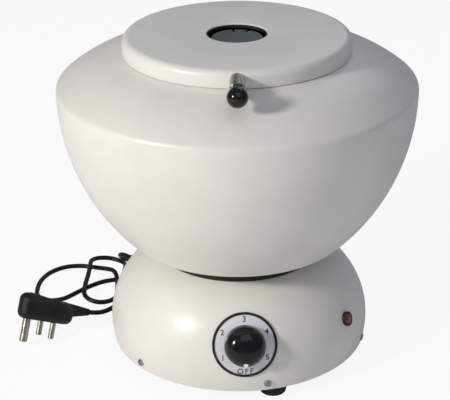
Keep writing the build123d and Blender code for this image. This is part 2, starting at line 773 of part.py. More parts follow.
# Collar and rubber isolators between the bowl, the dome and the motor
bolt_places = PolarLocations(mount_bolt_circle, mount_bolt_count, start_angle=45)
with BuildPart() as neck_collar:
    collar_foot_z = dome_center_z + sqrt(base_dome_curve**2 - (collar_outer_radius - base_dome_axis_radius) ** 2)
    ring(collar_outer_radius, collar_inner_radius, collar_foot_z, bowl_floor_z - collar_foot_z)
    add(dome_form.part, mode=Mode.SUBTRACT)
    with BuildSketch(Plane.XY.offset(base_top_z)):
        with bolt_places:
            Circle(mount_bolt_radius + screw_play)
    extrude(amount=bowl_floor_z - base_top_z, mode=Mode.SUBTRACT)
    collar_edges = neck_collar.edges().filter_by(GeomType.CIRCLE)
    fillet(collar_edges.sort_by_distance((collar_outer_radius, 0, bowl_floor_z))[0], collar_edge_fillet)
save(neck_collar, "neck_collar")

with BuildPart() as motor_isolators:
    isolator_height = base_top_z - shell_wall - motor_top_z - screw_play
    with BuildSketch(Plane.XY.offset(motor_top_z)):
        with bolt_places:
            Circle(isolator_radius)
            Circle(mount_bolt_radius + screw_play, mode=Mode.SUBTRACT)
    extrude(amount=isolator_height)
save(motor_isolators, "motor_isolators")

bolt_tip_z = motor_top_z - end_cap_thickness + 1
with BuildPart() as mounting_bolts:
    floor_top_z = bowl_floor_z + shell_wall
    with BuildSketch(Plane.XY.offset(bolt_tip_z)):
        with bolt_places:
            Circle(mount_bolt_radius)
    extrude(amount=floor_top_z - bolt_tip_z)
    with BuildSketch(Plane.XY.offset(floor_top_z)):
        with bolt_places:
            RegularPolygon(2 * mount_bolt_radius, 6)
    extrude(amount=3.5)
save(mounting_bolts, "mounting_bolts")

with BuildPart() as shaft_seal:
    with BuildSketch(Plane.XZ):
        with BuildLine():
            Polyline(
                (shaft_radius + 0.3, bowl_floor_z),
                (seal_spigot_radius, bowl_floor_z),
                (seal_spigot_radius, floor_top_z),
                (seal_radius, floor_top_z),
                (shaft_radius + 3, floor_top_z + seal_height),
                (shaft_radius + 0.3, floor_top_z + seal_height),
                close=True,
            )
        make_face()
    revolve(axis=Axis.Z)
save(shaft_seal, "shaft_seal")

# Motor frame: a tube between two end caps that carry the bearings
upper_pocket_z = motor_top_z - end_cap_thickness + 4
upper_boss_top_z = upper_pocket_z + upper_bearing_height
tube_bottom_z = motor_bottom_z + end_cap_thickness
tube_top_z = motor_top_z - end_cap_thickness
with BuildPart() as motor_housing:
    ring(motor_radius, motor_radius - motor_wall, tube_bottom_z, tube_top_z - tube_bottom_z)
    brush_z = stator_bottom_z + stator_height + winding_height + 1.5 + commutator_height / 2
    with BuildSketch(Plane.YZ):
        with Locations((0, brush_z)):
            Rectangle(brush_holder_width, brush_holder_width)
    extrude(amount=motor_radius + 2, both=True, mode=Mode.SUBTRACT)
save(motor_housing, "motor_housing")

with BuildPart() as motor_bottom_cap:
    ring(motor_radius, 0.1, motor_bottom_z, end_cap_thickness)
    with BuildSketch(Plane.XY.offset(motor_bottom_z)):
        Circle(lower_bearing_radius + 4)
    extrude(amount=shaft_bottom_z - motor_bottom_z + lower_bearing_height)
    with BuildSketch(Plane.XY.offset(shaft_bottom_z - 0.6)):
        Circle(lower_bearing_radius)
    extrude(amount=3 * lower_bearing_height, mode=Mode.SUBTRACT)
    fillet(motor_bottom_cap.edges().filter_by(GeomType.CIRCLE).group_by(Axis.Z)[0].sort_by(SortBy.RADIUS)[-1], 2)
save(motor_bottom_cap, "motor_bottom_cap")

with BuildPart() as motor_top_cap:
    ring(motor_radius, shaft_radius + 1, tube_top_z, end_cap_thickness)
    ring(upper_bearing_radius + 4, upper_bearing_radius, upper_pocket_z, upper_bearing_height)
    with BuildSketch(Plane.XY.offset(upper_pocket_z)):
        Circle(upper_bearing_radius)
    extrude(amount=2 * upper_bearing_height, mode=Mode.SUBTRACT)
    with BuildSketch(Plane.XY.offset(motor_top_z)):
        with bolt_places:
            Circle(mount_bolt_radius)
    extrude(amount=-end_cap_thickness, mode=Mode.SUBTRACT)
save(motor_top_cap, "motor_top_cap")


def bearing(outer, bore, bottom, height):
    """One closed ball bearing with shallow recesses at its shields."""
    recess = 0.6
    land = 0.22 * (outer - bore)
    ring(outer, bore, bottom, height)
    for plane in (Plane.XY.offset(bottom), Plane.XY.offset(bottom + height - recess)):
        with BuildSketch(plane) as shield:
            Circle(outer - land)
            Circle(bore + land, mode=Mode.SUBTRACT)
        extrude(shield.sketch, amount=recess, mode=Mode.SUBTRACT)


with BuildPart() as shaft_bearings:
    bearing(lower_bearing_radius, journal_radius + running_clearance, shaft_bottom_z, lower_bearing_height)
    bearing(upper_bearing_radius, shaft_radius + running_clearance, upper_pocket_z, upper_bearing_height)
save(shaft_bearings, "shaft_bearings")

with BuildPart() as stator_core:
    ring(motor_radius - motor_wall, stator_bore_radius, stator_bottom_z, stator_height)
    with BuildSketch(Plane.XY.offset(stator_bottom_z)):
        with PolarLocations(stator_bore_radius + stator_slot_depth / 3, 2, start_angle=0):
            Rectangle(stator_slot_depth, stator_slot_width)
    extrude(amount=stator_height, mode=Mode.SUBTRACT)
save(stator_core, "stator_core")

winding_mid = (motor_radius - motor_wall + stator_bore_radius) / 2
with BuildPart() as field_coils:
    coil_inner = winding_mid - 5
    coil_outer = winding_mid + 5
    ring(coil_outer, coil_inner, stator_bottom_z + stator_height, winding_height)
    ring(coil_outer, coil_inner, stator_bottom_z - winding_height, winding_height)
    fillet(field_coils.edges().filter_by(GeomType.CIRCLE), 2)
save(field_coils, "field_coils")

with BuildPart() as brush_holders:
    holder_start = commutator_radius + 4
    for side in (-1, 1):
        with BuildSketch(Plane.YZ.offset(side * holder_start)):
            with Locations((0, brush_z)):
                Rectangle(brush_holder_width, brush_holder_width)
                Rectangle(brush_width, brush_width, mode=Mode.SUBTRACT)
        extrude(amount=side * (motor_radius + 1 - holder_start))
        with BuildSketch(Plane.YZ.offset(side * (motor_radius + 1))):
            with Locations((0, brush_z)):
                Circle(brush_holder_width / 2 + 1)
        extrude(amount=side * 3)
save(brush_holders, "brush_holders")

with BuildPart() as carbon_brushes:
    for side in (-1, 1):
        with BuildSketch(Plane.YZ.offset(side * (commutator_radius + air_gap))):
            with Locations((0, brush_z)):
                Rectangle(brush_width, brush_width)
        extrude(amount=side * 18)
save(carbon_brushes, "carbon_brushes")

# Rotating assembly: shaft, armature, commutator, spider and clamp nut
shaft_top_z = lid_top_z - rotor_nut_drop - 3
spider_bottom_z = trunnion_z - hub_height / 2
with BuildPart() as motor_shaft:
    lower_step_z = shaft_bottom_z + lower_bearing_height + 1
    with BuildSketch(Plane.XY.offset(shaft_bottom_z)):
        Circle(journal_radius)
    extrude(amount=shaft_top_z - shaft_bottom_z)
    with BuildSketch(Plane.XY.offset(lower_step_z)):
        Circle(shaft_radius)
    extrude(amount=spider_bottom_z - lower_step_z)
    chamfer(motor_shaft.edges().group_by(Axis.Z)[-1], 0.8)
save(motor_shaft, "motor_shaft")

armature_radius = stator_bore_radius - air_gap
with BuildPart() as armature:
    ring(armature_radius, shaft_radius, stator_bottom_z, stator_height)
    with BuildSketch(Plane.XY.offset(stator_bottom_z)):
        with PolarLocations(armature_radius - 2, 12):
            Rectangle(5, 2)
    extrude(amount=stator_height, mode=Mode.SUBTRACT)
    overhang = winding_height - 1
    ring(armature_radius - 5, shaft_radius, stator_bottom_z - overhang, stator_height + 2 * overhang)
    fillet(armature.edges().filter_by(GeomType.CIRCLE).group_by(Axis.Z)[0].sort_by(SortBy.RADIUS)[-1], 2)
    fillet(armature.edges().filter_by(GeomType.CIRCLE).group_by(Axis.Z)[-1].sort_by(SortBy.RADIUS)[-1], 2)
save(armature, "armature")

with BuildPart() as commutator:
    commutator_z = brush_z - commutator_height / 2
    ring(commutator_radius, shaft_radius, commutator_z, commutator_height)
    with BuildSketch(Plane.XY.offset(commutator_z)):
        with PolarLocations(commutator_radius, 24):
            Rectangle(2, 0.5)
    extrude(amount=commutator_height, mode=Mode.SUBTRACT)
save(commutator, "commutator")

rotor_plane = Plane(origin=(0, 0, 0), x_dir=(cos(radians(rotor_azimuth)), sin(radians(rotor_azimuth)), 0))
prong_inner = trunnion_ring_radius + prong_gap
prong_middle = prong_inner + prong_width / 2
prong_length = 2 * (trunnion_circle + prong_overhang)
pin_bore_radius = trunnion_pin_radius + running_clearance
with BuildPart() as rotor_head:
    with BuildSketch(rotor_plane.offset(spider_bottom_z)):
        Circle(hub_radius)
    extrude(amount=hub_height)
    fillet(rotor_head.edges().filter_by(GeomType.CIRCLE), 3)
    with BuildSketch(rotor_plane.offset(trunnion_z - prong_height / 2)):
        with Locations((0, -prong_middle), (0, prong_middle)):
            Rectangle(prong_length, prong_width)
        with Locations((-prong_middle, 0), (prong_middle, 0)):
            Rectangle(prong_width, prong_length)
    extrude(amount=prong_height)
    fillet(rotor_head.edges().filter_by(Axis.Z).sort_by_distance((0, 0, trunnion_z))[-16:], 1.5)
    for turn in (0, 90):
        bore_plane = Plane(rotor_plane.location * Pos(0, 0, trunnion_z) * Rot(0, 0, turn) * Rot(90, 0, 0))
        with BuildSketch(bore_plane):
            with Locations((-trunnion_circle, 0), (trunnion_circle, 0)):
                Circle(pin_bore_radius)
        extrude(amount=prong_inner + 2 * prong_width, both=True, mode=Mode.SUBTRACT)
    with BuildSketch(Plane.XY.offset(spider_bottom_z)):
        Circle(journal_radius)
    extrude(amount=hub_height, mode=Mode.SUBTRACT)
save(rotor_head, "rotor_head")

nut_top_z = lid_top_z - rotor_nut_drop
nut_bottom_z = trunnion_z + hub_height / 2
nut_disc_z = nut_top_z - rotor_nut_thickness
with BuildPart() as rotor_nut:
    with BuildSketch(Plane.XZ) as nut_face:
        with BuildLine():
            Polyline(
                (0, nut_bottom_z),
                (rotor_nut_boss_radius, nut_bottom_z),
                (rotor_nut_boss_radius, nut_disc_z),
                (rotor_nut_radius, nut_disc_z),
                (rotor_nut_radius, nut_top_z),
                (0, nut_top_z),
                close=True,
            )
        make_face()
        fillet(nut_face.vertices().sort_by_distance((rotor_nut_boss_radius, nut_disc_z))[0], 3)
        fillet(nut_face.vertices().sort_by_distance((rotor_nut_radius, nut_disc_z))[0], 1)
        fillet(nut_face.vertices().sort_by_distance((rotor_nut_radius, nut_top_z))[0], 1)
    revolve(axis=Axis.Z)
    with BuildSketch(rotor_plane.offset(nut_top_z)):
        with Locations(Rot(0, 0, 90 - notch_spread), Rot(0, 0, 90 + notch_spread)):
            with Locations((rotor_nut_radius, 0)):
                SlotOverall(2 * notch_depth, notch_width)
        with Locations(Rot(0, 0, -90 - notch_spread), Rot(0, 0, notch_spread - 90)):
            with Locations((rotor_nut_radius, 0)):
                SlotOverall(2 * notch_depth, notch_width)
    extrude(amount=-rotor_nut_thickness, mode=Mode.SUBTRACT)
    with BuildSketch(Plane.XY.offset(nut_bottom_z)):
        Circle(journal_radius)
    extrude(amount=shaft_top_z - nut_bottom_z, mode=Mode.SUBTRACT)
save(rotor_nut, "rotor_nut")

# Swing-out buckets: a trunnion ring with two pins, and the metal cup that hangs in it
for index in range(bucket_count):
    turn = rotor_azimuth + index * 360 / bucket_count
    place = Plane(
        origin=(trunnion_circle * cos(radians(turn)), trunnion_circle * sin(radians(turn)), trunnion_z),
        x_dir=(cos(radians(turn)), sin(radians(turn)), 0),
    )
    pin_plane = Plane(origin=place.origin, x_dir=(0, 0, 1), z_dir=place.y_dir)
    seat_radius = cup_bore_radius + cup_wall + running_clearance
    ring_top = trunnion_ring_height / 2
    with BuildPart() as trunnion_ring:
        with BuildSketch(pin_plane):
            Circle(trunnion_pin_radius)
        extrude(amount=prong_inner + prong_width + 0.6, both=True)
        with BuildSketch(place.offset(-ring_top)):
            Circle(trunnion_ring_radius)
        extrude(amount=trunnion_ring_height)
        chamfer(trunnion_ring.edges().filter_by(GeomType.CIRCLE).sort_by(SortBy.RADIUS)[-2:], 0.6)
        with BuildSketch(place.offset(-ring_top)):
            Circle(seat_radius)
        extrude(amount=trunnion_ring_height, mode=Mode.SUBTRACT)
    save(trunnion_ring, f"trunnion_ring_{index + 1}")
    with BuildPart() as bucket_cup:
        cup_top = ring_top + cup_flange_thickness
        cup_radius = cup_bore_radius + cup_wall
        cup_bottom = cup_top - cup_length
        with BuildSketch(Plane(origin=place.origin, x_dir=place.x_dir, z_dir=-place.y_dir)) as cup_face:
            with BuildLine():
                Polyline(
                    (0, cup_bottom),
                    (cup_radius, cup_bottom),
                    (cup_radius, ring_top),
                    (cup_flange_radius, ring_top),
                    (cup_flange_radius, cup_top),
                    (cup_bore_radius, cup_top),
                    (cup_bore_radius, cup_bottom + cup_wall),
                    (0, cup_bottom + cup_wall),
                    close=True,
                )
            make_face()
            fillet(cup_face.vertices().sort_by_distance((cup_radius, cup_bottom))[0], cup_radius - 1.2)
            fillet(cup_face.vertices().sort_by_distance((cup_bore_radius, cup_bottom))[0], cup_bore_radius - 1.2)
            fillet(cup_face.vertices().sort_by_distance((cup_flange_radius, cup_top))[0], 0.5)
        revolve(axis=Axis(place.origin, (0, 0, 1)))
    save(bucket_cup, f"bucket_cup_{index + 1}")

# Cord gland in the side of the base, with its tapered strain relief, and the terminal block inside
gland_taper = degrees(atan2(gland_flange_radius - 2.5 - gland_tip_radius, gland_length - 2.5))
with BuildPart() as cord_gland:
    with BuildSketch(gland_plane.offset(-1)):
        Circle(gland_flange_radius)
    extrude(amount=3.5)
    fillet(cord_gland.faces().sort_by(Axis(gland_plane.origin, gland_plane.z_dir))[-1].edges(), 1)
    add(dome_form.part, mode=Mode.SUBTRACT)
    with BuildSketch(gland_plane.offset(-shell_wall - 4)):
        Circle(gland_flange_radius - 3)
    extrude(amount=shell_wall + 4.5)
    with BuildSketch(gland_plane.offset(-shell_wall - 4)):
        Circle(gland_flange_radius)
    extrude(amount=3)
    with BuildSketch(gland_plane.offset(2.5)):
        Circle(gland_flange_radius - 2.5)
    extrude(amount=gland_length - 2.5, taper=gland_taper)
save(cord_gland, "cord_gland")

block_z = base_rim_z + plate_thickness
with BuildPart() as terminal_block:
    with BuildSketch(Plane.XY.offset(block_z)):
        with Locations(terminal_block_center):
            Rectangle(terminal_count * terminal_pitch + 1.5 * terminal_gap, terminal_block_width)
    extrude(amount=terminal_block_web)
    with BuildSketch(Plane.XY.offset(block_z)):
        with Locations(terminal_block_center):
            with GridLocations(terminal_pitch, 0, terminal_count, 1):
                Rectangle(terminal_pitch - terminal_gap, terminal_block_width)
    extrude(amount=terminal_block_height)
    with BuildSketch(Plane.XY.offset(block_z + terminal_block_height)):
        with Locations(terminal_block_center):
            with GridLocations(terminal_pitch, terminal_block_width / 2, terminal_count, 2):
                Circle(terminal_screw_radius)
    extrude(amount=-terminal_block_web, mode=Mode.SUBTRACT)
    with BuildSketch(Plane.XZ.offset(-terminal_block_center[1])):
        with Locations((terminal_block_center[0], block_z + terminal_block_height / 2)):
            with GridLocations(terminal_pitch, 0, terminal_count, 1):
                Circle(terminal_bore_radius)
    extrude(amount=terminal_block_width, both=True, mode=Mode.SUBTRACT)
save(terminal_block, "terminal_block")

# Mains plug, tipped over on the floor: two round live pins, a larger earth pin and the body
plug_plane = Plane(origin=(-172, 3, 16.4), x_dir=(0.668, -0.717, 0.189), z_dir=(0.186, 0.41, 0.893))
plug_axis_plane = Plane(
    origin=plug_plane.from_local_coords((0, 0, plug_axis_rise)), x_dir=plug_plane.x_dir, z_dir=plug_plane.y_dir
)
live_pin_places = Locations((-live_pin_spacing / 2, 0), (live_pin_spacing / 2, 0))
plug_shoulder = live_pin_radius + 1.6 * plug_margin
plug_neck_length = plug_shoulder + 6
with BuildPart() as plug_body:
    with BuildSketch(plug_plane) as plug_face:
        with Locations((0, -earth_pin_offset)):
            Circle(earth_pin_radius + plug_margin)
        with Locations((-live_pin_spacing / 2 - 1, 4), (live_pin_spacing / 2 + 1, 4)):
            Circle(plug_shoulder)
        make_hull()
    extrude(amount=plug_thickness)
    fillet(plug_body.faces().sort_by(Axis(plug_plane.origin, plug_plane.z_dir))[-1].edges(), 5)
    fillet(plug_body.faces().sort_by(Axis(plug_plane.origin, plug_plane.z_dir))[0].edges(), 1)
    with BuildSketch(plug_plane.offset(0.35 * plug_thickness)):
        add(plug_face.sketch_local)
        offset(plug_face.sketch_local, amount=-0.6, mode=Mode.SUBTRACT)
    extrude(amount=0.8, mode=Mode.SUBTRACT)
    with BuildSketch(plug_axis_plane.offset(0.5 * plug_shoulder)):
        Circle(plug_relief_radius + 1.3)
    extrude(amount=plug_neck_length - 0.5 * plug_shoulder)
save(plug_body, "plug_body")

with BuildPart() as plug_pins:
    with BuildSketch(plug_plane):
        with live_pin_places:
            Circle(live_pin_radius)
    extrude(amount=-live_pin_length)
    with BuildSketch(plug_plane):
        with Locations((0, -earth_pin_offset)):
            Circle(earth_pin_radius)
    extrude(amount=-earth_pin_length)
    down_axis = Axis(plug_plane.origin, -plug_plane.z_dir)
    for pin in plug_pins.solids():
        chamfer(pin.faces().sort_by(down_axis)[-1].edges(), 0.8)
save(plug_pins, "plug_pins")

plug_relief_taper = degrees(atan2(plug_relief_radius - relief_tip_radius, plug_relief_length))
plug_cord_start = plug_neck_length + plug_relief_length
with BuildPart() as plug_relief:
    with BuildSketch(plug_axis_plane.offset(plug_neck_length)):
        Circle(plug_relief_radius)
    extrude(amount=plug_relief_length, taper=plug_relief_taper)
    for index in range(5):
        with BuildSketch(plug_axis_plane.offset(plug_neck_length + 3 + 4 * index)):
            Circle(plug_relief_radius + 1)
            Circle(relief_tip_radius - 0.4, mode=Mode.SUBTRACT)
        extrude(amount=1.4, mode=Mode.SUBTRACT)
save(plug_relief, "plug_relief")


def cord_tube(points, label):
    """Sweep the cord's round section along straight runs joined by tangent arcs."""
    spots = [Vector(point) for point in points]
    radii = []
    with BuildLine() as route:
        start = spots[0]
        for before, corner, after in zip(spots, spots[1:], spots[2:]):
            arriving = corner - before
            leaving = after - corner
            trim = 0.45 * min(arriving.length, leaving.length)
            arriving = arriving.normalized()
            leaving = leaving.normalized()
            half_turn = acos(arriving.dot(leaving)) / 2
            bend_radius = trim / tan(half_turn)
            inward = (leaving - arriving).normalized()
            bend_middle = corner + inward * (bend_radius / cos(half_turn) - bend_radius)
            Line(start, corner - arriving * trim)
            ThreePointArc(corner - arriving * trim, bend_middle, corner + leaving * trim)
            start = corner + leaving * trim
            radii.append(bend_radius)
        Line(start, spots[-1])
    with BuildSketch(Plane(origin=spots[0], z_dir=spots[1] - spots[0])) as section:
        Circle(cord_radius)
    route_wire = route.wires()[0]
    sweep(section.sketch, path=route_wire)
    print(label, "length", round(route_wire.length, 1), "radii", [round(radius, 1) for radius in radii])
    return route_wire.length


# The cord lies on the floor: from the gland to a coil behind the base, then round to the plug
coil_x, coil_y = coil_center
coil_outer_turn = coil_turn_radius + (coil_columns - 1) / 2 * cord_diameter
gland_end = tuple(gland_plane.offset(gland_length).origin)
gland_exit = tuple(gland_plane.offset(gland_length + 11).origin)
plug_exit = tuple(plug_axis_plane.offset(plug_cord_start + cord_straight).origin)
plug_end = tuple(plug_axis_plane.offset(plug_cord_start).origin)
lead_points = [
    gland_end,
    gland_exit,
    (-116, 122, 22),
    (-112, 134, 11),
    (-100, 145, 3.2),
    (-83, 155, cord_floor_z),
    (-64, 164.5, cord_floor_z),
    (-44, 172, cord_floor_z),
    (-26, 177.6, cord_floor_z),
    (coil_x, coil_y + coil_outer_turn, cord_floor_z),
]
run_points = [
    (coil_x, coil_y - coil_outer_turn, cord_floor_z),
    (-33, 121.5, cord_floor_z),
    (-56, 117, cord_floor_z),
    (-80, 113.5, cord_floor_z),
    (-104, 109.5, cord_floor_z),
    (-127, 106, cord_floor_z),
    (-141, 96, cord_floor_z),
    (-152, 84, cord_floor_z),
    (-166, 67, cord_floor_z),
    (-181, 65.5, cord_floor_z),
    (-191.5, 75, cord_floor_z),
    (-192.5, 92, cord_floor_z),
    (-191, 108, cord_floor_z),
    (-184, 124, cord_floor_z),
    (-171, 135, cord_floor_z),
    (-155, 137.5, cord_floor_z),
    (-140, 133, cord_floor_z),
    (-129, 126, 4.5),
    (-120.5, 115.5, 8.2),
    (-116.5, 100, 8.2),
    (-115.5, 86, 3.2),
    (-115.5, 67.2, 2.6),
    (-130.8, 58.3, 3),
    (-146.1, 67.2, 5.2),
    (-146.3, 86, 8.2),
    (-145.2, 101, 8.2),
    (-144.8, 121, 8.2),
    (-145.5, 141, 8.2),
    (-128.25, 150.9, 4.5),
    (-111, 141, 3.2),
    (-110.5, 119, 8.2),
    (-111, 99, 8.2),
    (-110.2, 78, 3),
    (-111.5, 62, cord_floor_z),
    (-119.5, 48, cord_floor_z),
    plug_exit,
    plug_end,
]
with BuildPart() as cord_lead:
    lead_length = cord_tube(lead_points, "cord_lead")
save(cord_lead, "cord_lead")

with BuildPart() as cord_run:
    run_length = cord_tube(run_points, "cord_run")
save(cord_run, "cord_run")

# The coil as one ring of the outer shape of its turns
coil_half_width = coil_columns * cord_radius + 0.1
coil_height = coil_layers * cord_diameter + 0.1
with BuildPart() as cord_coil:
    with BuildSketch(Plane.XY.offset(cord_floor_z - cord_radius)):
        with Locations(coil_center):
            Circle(coil_turn_radius + coil_half_width)
            Circle(coil_turn_radius - coil_half_width, mode=Mode.SUBTRACT)
    extrude(amount=coil_height)
    fillet(cord_coil.edges().filter_by(GeomType.CIRCLE), 1.8)
save(cord_coil, "cord_coil")

coil_turns = coil_columns * coil_layers - 0.5
coil_length = coil_turns * 2 * pi * coil_turn_radius
print("whole cord", round(lead_length + coil_length + run_length, 1))
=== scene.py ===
import time

from math import asin, atan2, cos, pi, radians, sin, sqrt, tan

import bpy
from mathutils import Matrix, Vector


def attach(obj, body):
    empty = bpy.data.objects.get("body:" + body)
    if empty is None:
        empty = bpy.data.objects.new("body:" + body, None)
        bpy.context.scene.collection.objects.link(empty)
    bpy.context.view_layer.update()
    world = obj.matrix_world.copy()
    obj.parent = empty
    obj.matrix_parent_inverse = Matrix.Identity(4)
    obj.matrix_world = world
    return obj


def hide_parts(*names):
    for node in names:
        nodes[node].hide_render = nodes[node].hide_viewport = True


startTime = time.time()
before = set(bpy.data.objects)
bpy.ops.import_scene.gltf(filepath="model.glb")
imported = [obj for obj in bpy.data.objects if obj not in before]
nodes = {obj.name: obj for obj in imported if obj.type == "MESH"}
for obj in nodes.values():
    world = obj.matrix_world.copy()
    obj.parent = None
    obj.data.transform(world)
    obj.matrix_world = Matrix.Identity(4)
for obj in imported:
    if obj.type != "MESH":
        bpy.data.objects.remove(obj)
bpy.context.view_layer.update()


def stage(words):
    print(f"{time.time() - startTime:6.1f} s  {words}")


# Small helpers: selection, colours, nodes


def clearSelection():
    if bpy.context.object and bpy.context.object.mode != "OBJECT":
        bpy.ops.object.mode_set(mode="OBJECT")
    bpy.ops.object.select_all(action="DESELECT")


def linearColour(hexCode):
    # sRGB hex to the linear colour that the shaders take
    channels = [int(hexCode[i : i + 2], 16) / 255 for i in (1, 3, 5)]
    return tuple(c / 12.92 if c <= 0.04045 else ((c + 0.055) / 1.055) ** 2.4 for c in channels) + (1.0,)


def addNode(tree, kind, settings=None, inputs=None):
    node = tree.nodes.new(kind)
    for key, value in (settings or {}).items():
        setattr(node, key, value)
    for key, value in (inputs or {}).items():
        if isinstance(value, bpy.types.NodeSocket):
            tree.links.new(value, node.inputs[key])
        else:
            node.inputs[key].default_value = value
    return node


def newMaterial(name, looks):
    # a fresh material with its shader's plain values set on the sockets themselves
    material = bpy.data.materials.new(name)
    material.use_nodes = True
    tree = material.node_tree
    shader = tree.nodes["Principled BSDF"]
    for socket, value in looks.items():
        shader.inputs[socket].default_value = linearColour(value) if isinstance(value, str) else value
    return material, tree, shader


def seenDirectly(tree):
    # 1 where the camera looks straight at it or through something clear, and 0 for all other light
    rays = addNode(tree, "ShaderNodeLightPath")
    inputs = {0: rays.outputs["Is Camera Ray"], 1: rays.outputs["Is Transmission Ray"]}
    return addNode(tree, "ShaderNodeMath", {"operation": "MAXIMUM"}, inputs).outputs[0]


def makeFinish(name, finish):
    # roughness and colour wander together with one pattern, and a finer one gives the relief
    material, tree, shader = newMaterial(name, finish["looks"])
    place = addNode(tree, "ShaderNodeTexCoord")
    patterns = []
    for pattern in (finish["drift"], finish["relief"]):
        stretch = pattern.get("stretch", (1, 1, 1))
        mapping = addNode(
            tree, "ShaderNodeMapping", inputs={"Vector": place.outputs["Object"], "Scale": stretch}
        )
        inputs = {"Vector": mapping.outputs["Vector"], "Scale": 1 / pattern["size"]}
        if "detail" in pattern:
            inputs.update({"Detail": pattern["detail"], "Roughness": 0.55})
        inputs.update(pattern.get("inputs", {}))
        texture = addNode(
            tree, pattern.get("texture", "ShaderNodeTexNoise"), pattern.get("settings"), inputs
        )
        patterns.append(texture.outputs[pattern.get("output", "Fac")])
    start, end = finish.get("span", (0.35, 0.65))
    low, high = finish["roughness"]
    spread = addNode(
        tree,
        "ShaderNodeMapRange",
        inputs={"Value": patterns[0], "From Min": start, "From Max": end, "To Min": low, "To Max": high},
    )
    ramp = addNode(tree, "ShaderNodeValToRGB", inputs={"Fac": patterns[0]})
    for element, position, colour in zip(ramp.color_ramp.elements, (start, end), finish["colours"]):
        element.position = position
        element.color = linearColour(colour)
    bump = addNode(
        tree,
        "ShaderNodeBump",
        inputs={"Height": patterns[1], "Distance": finish["depth"], "Strength": finish["strength"]},
    )
    tree.links.new(spread.outputs["Result"], shader.inputs["Roughness"])
    tree.links.new(ramp.outputs["Color"], shader.inputs["Base Color"])
    tree.links.new(bump.outputs["Normal"], shader.inputs["Normal"])
    return material


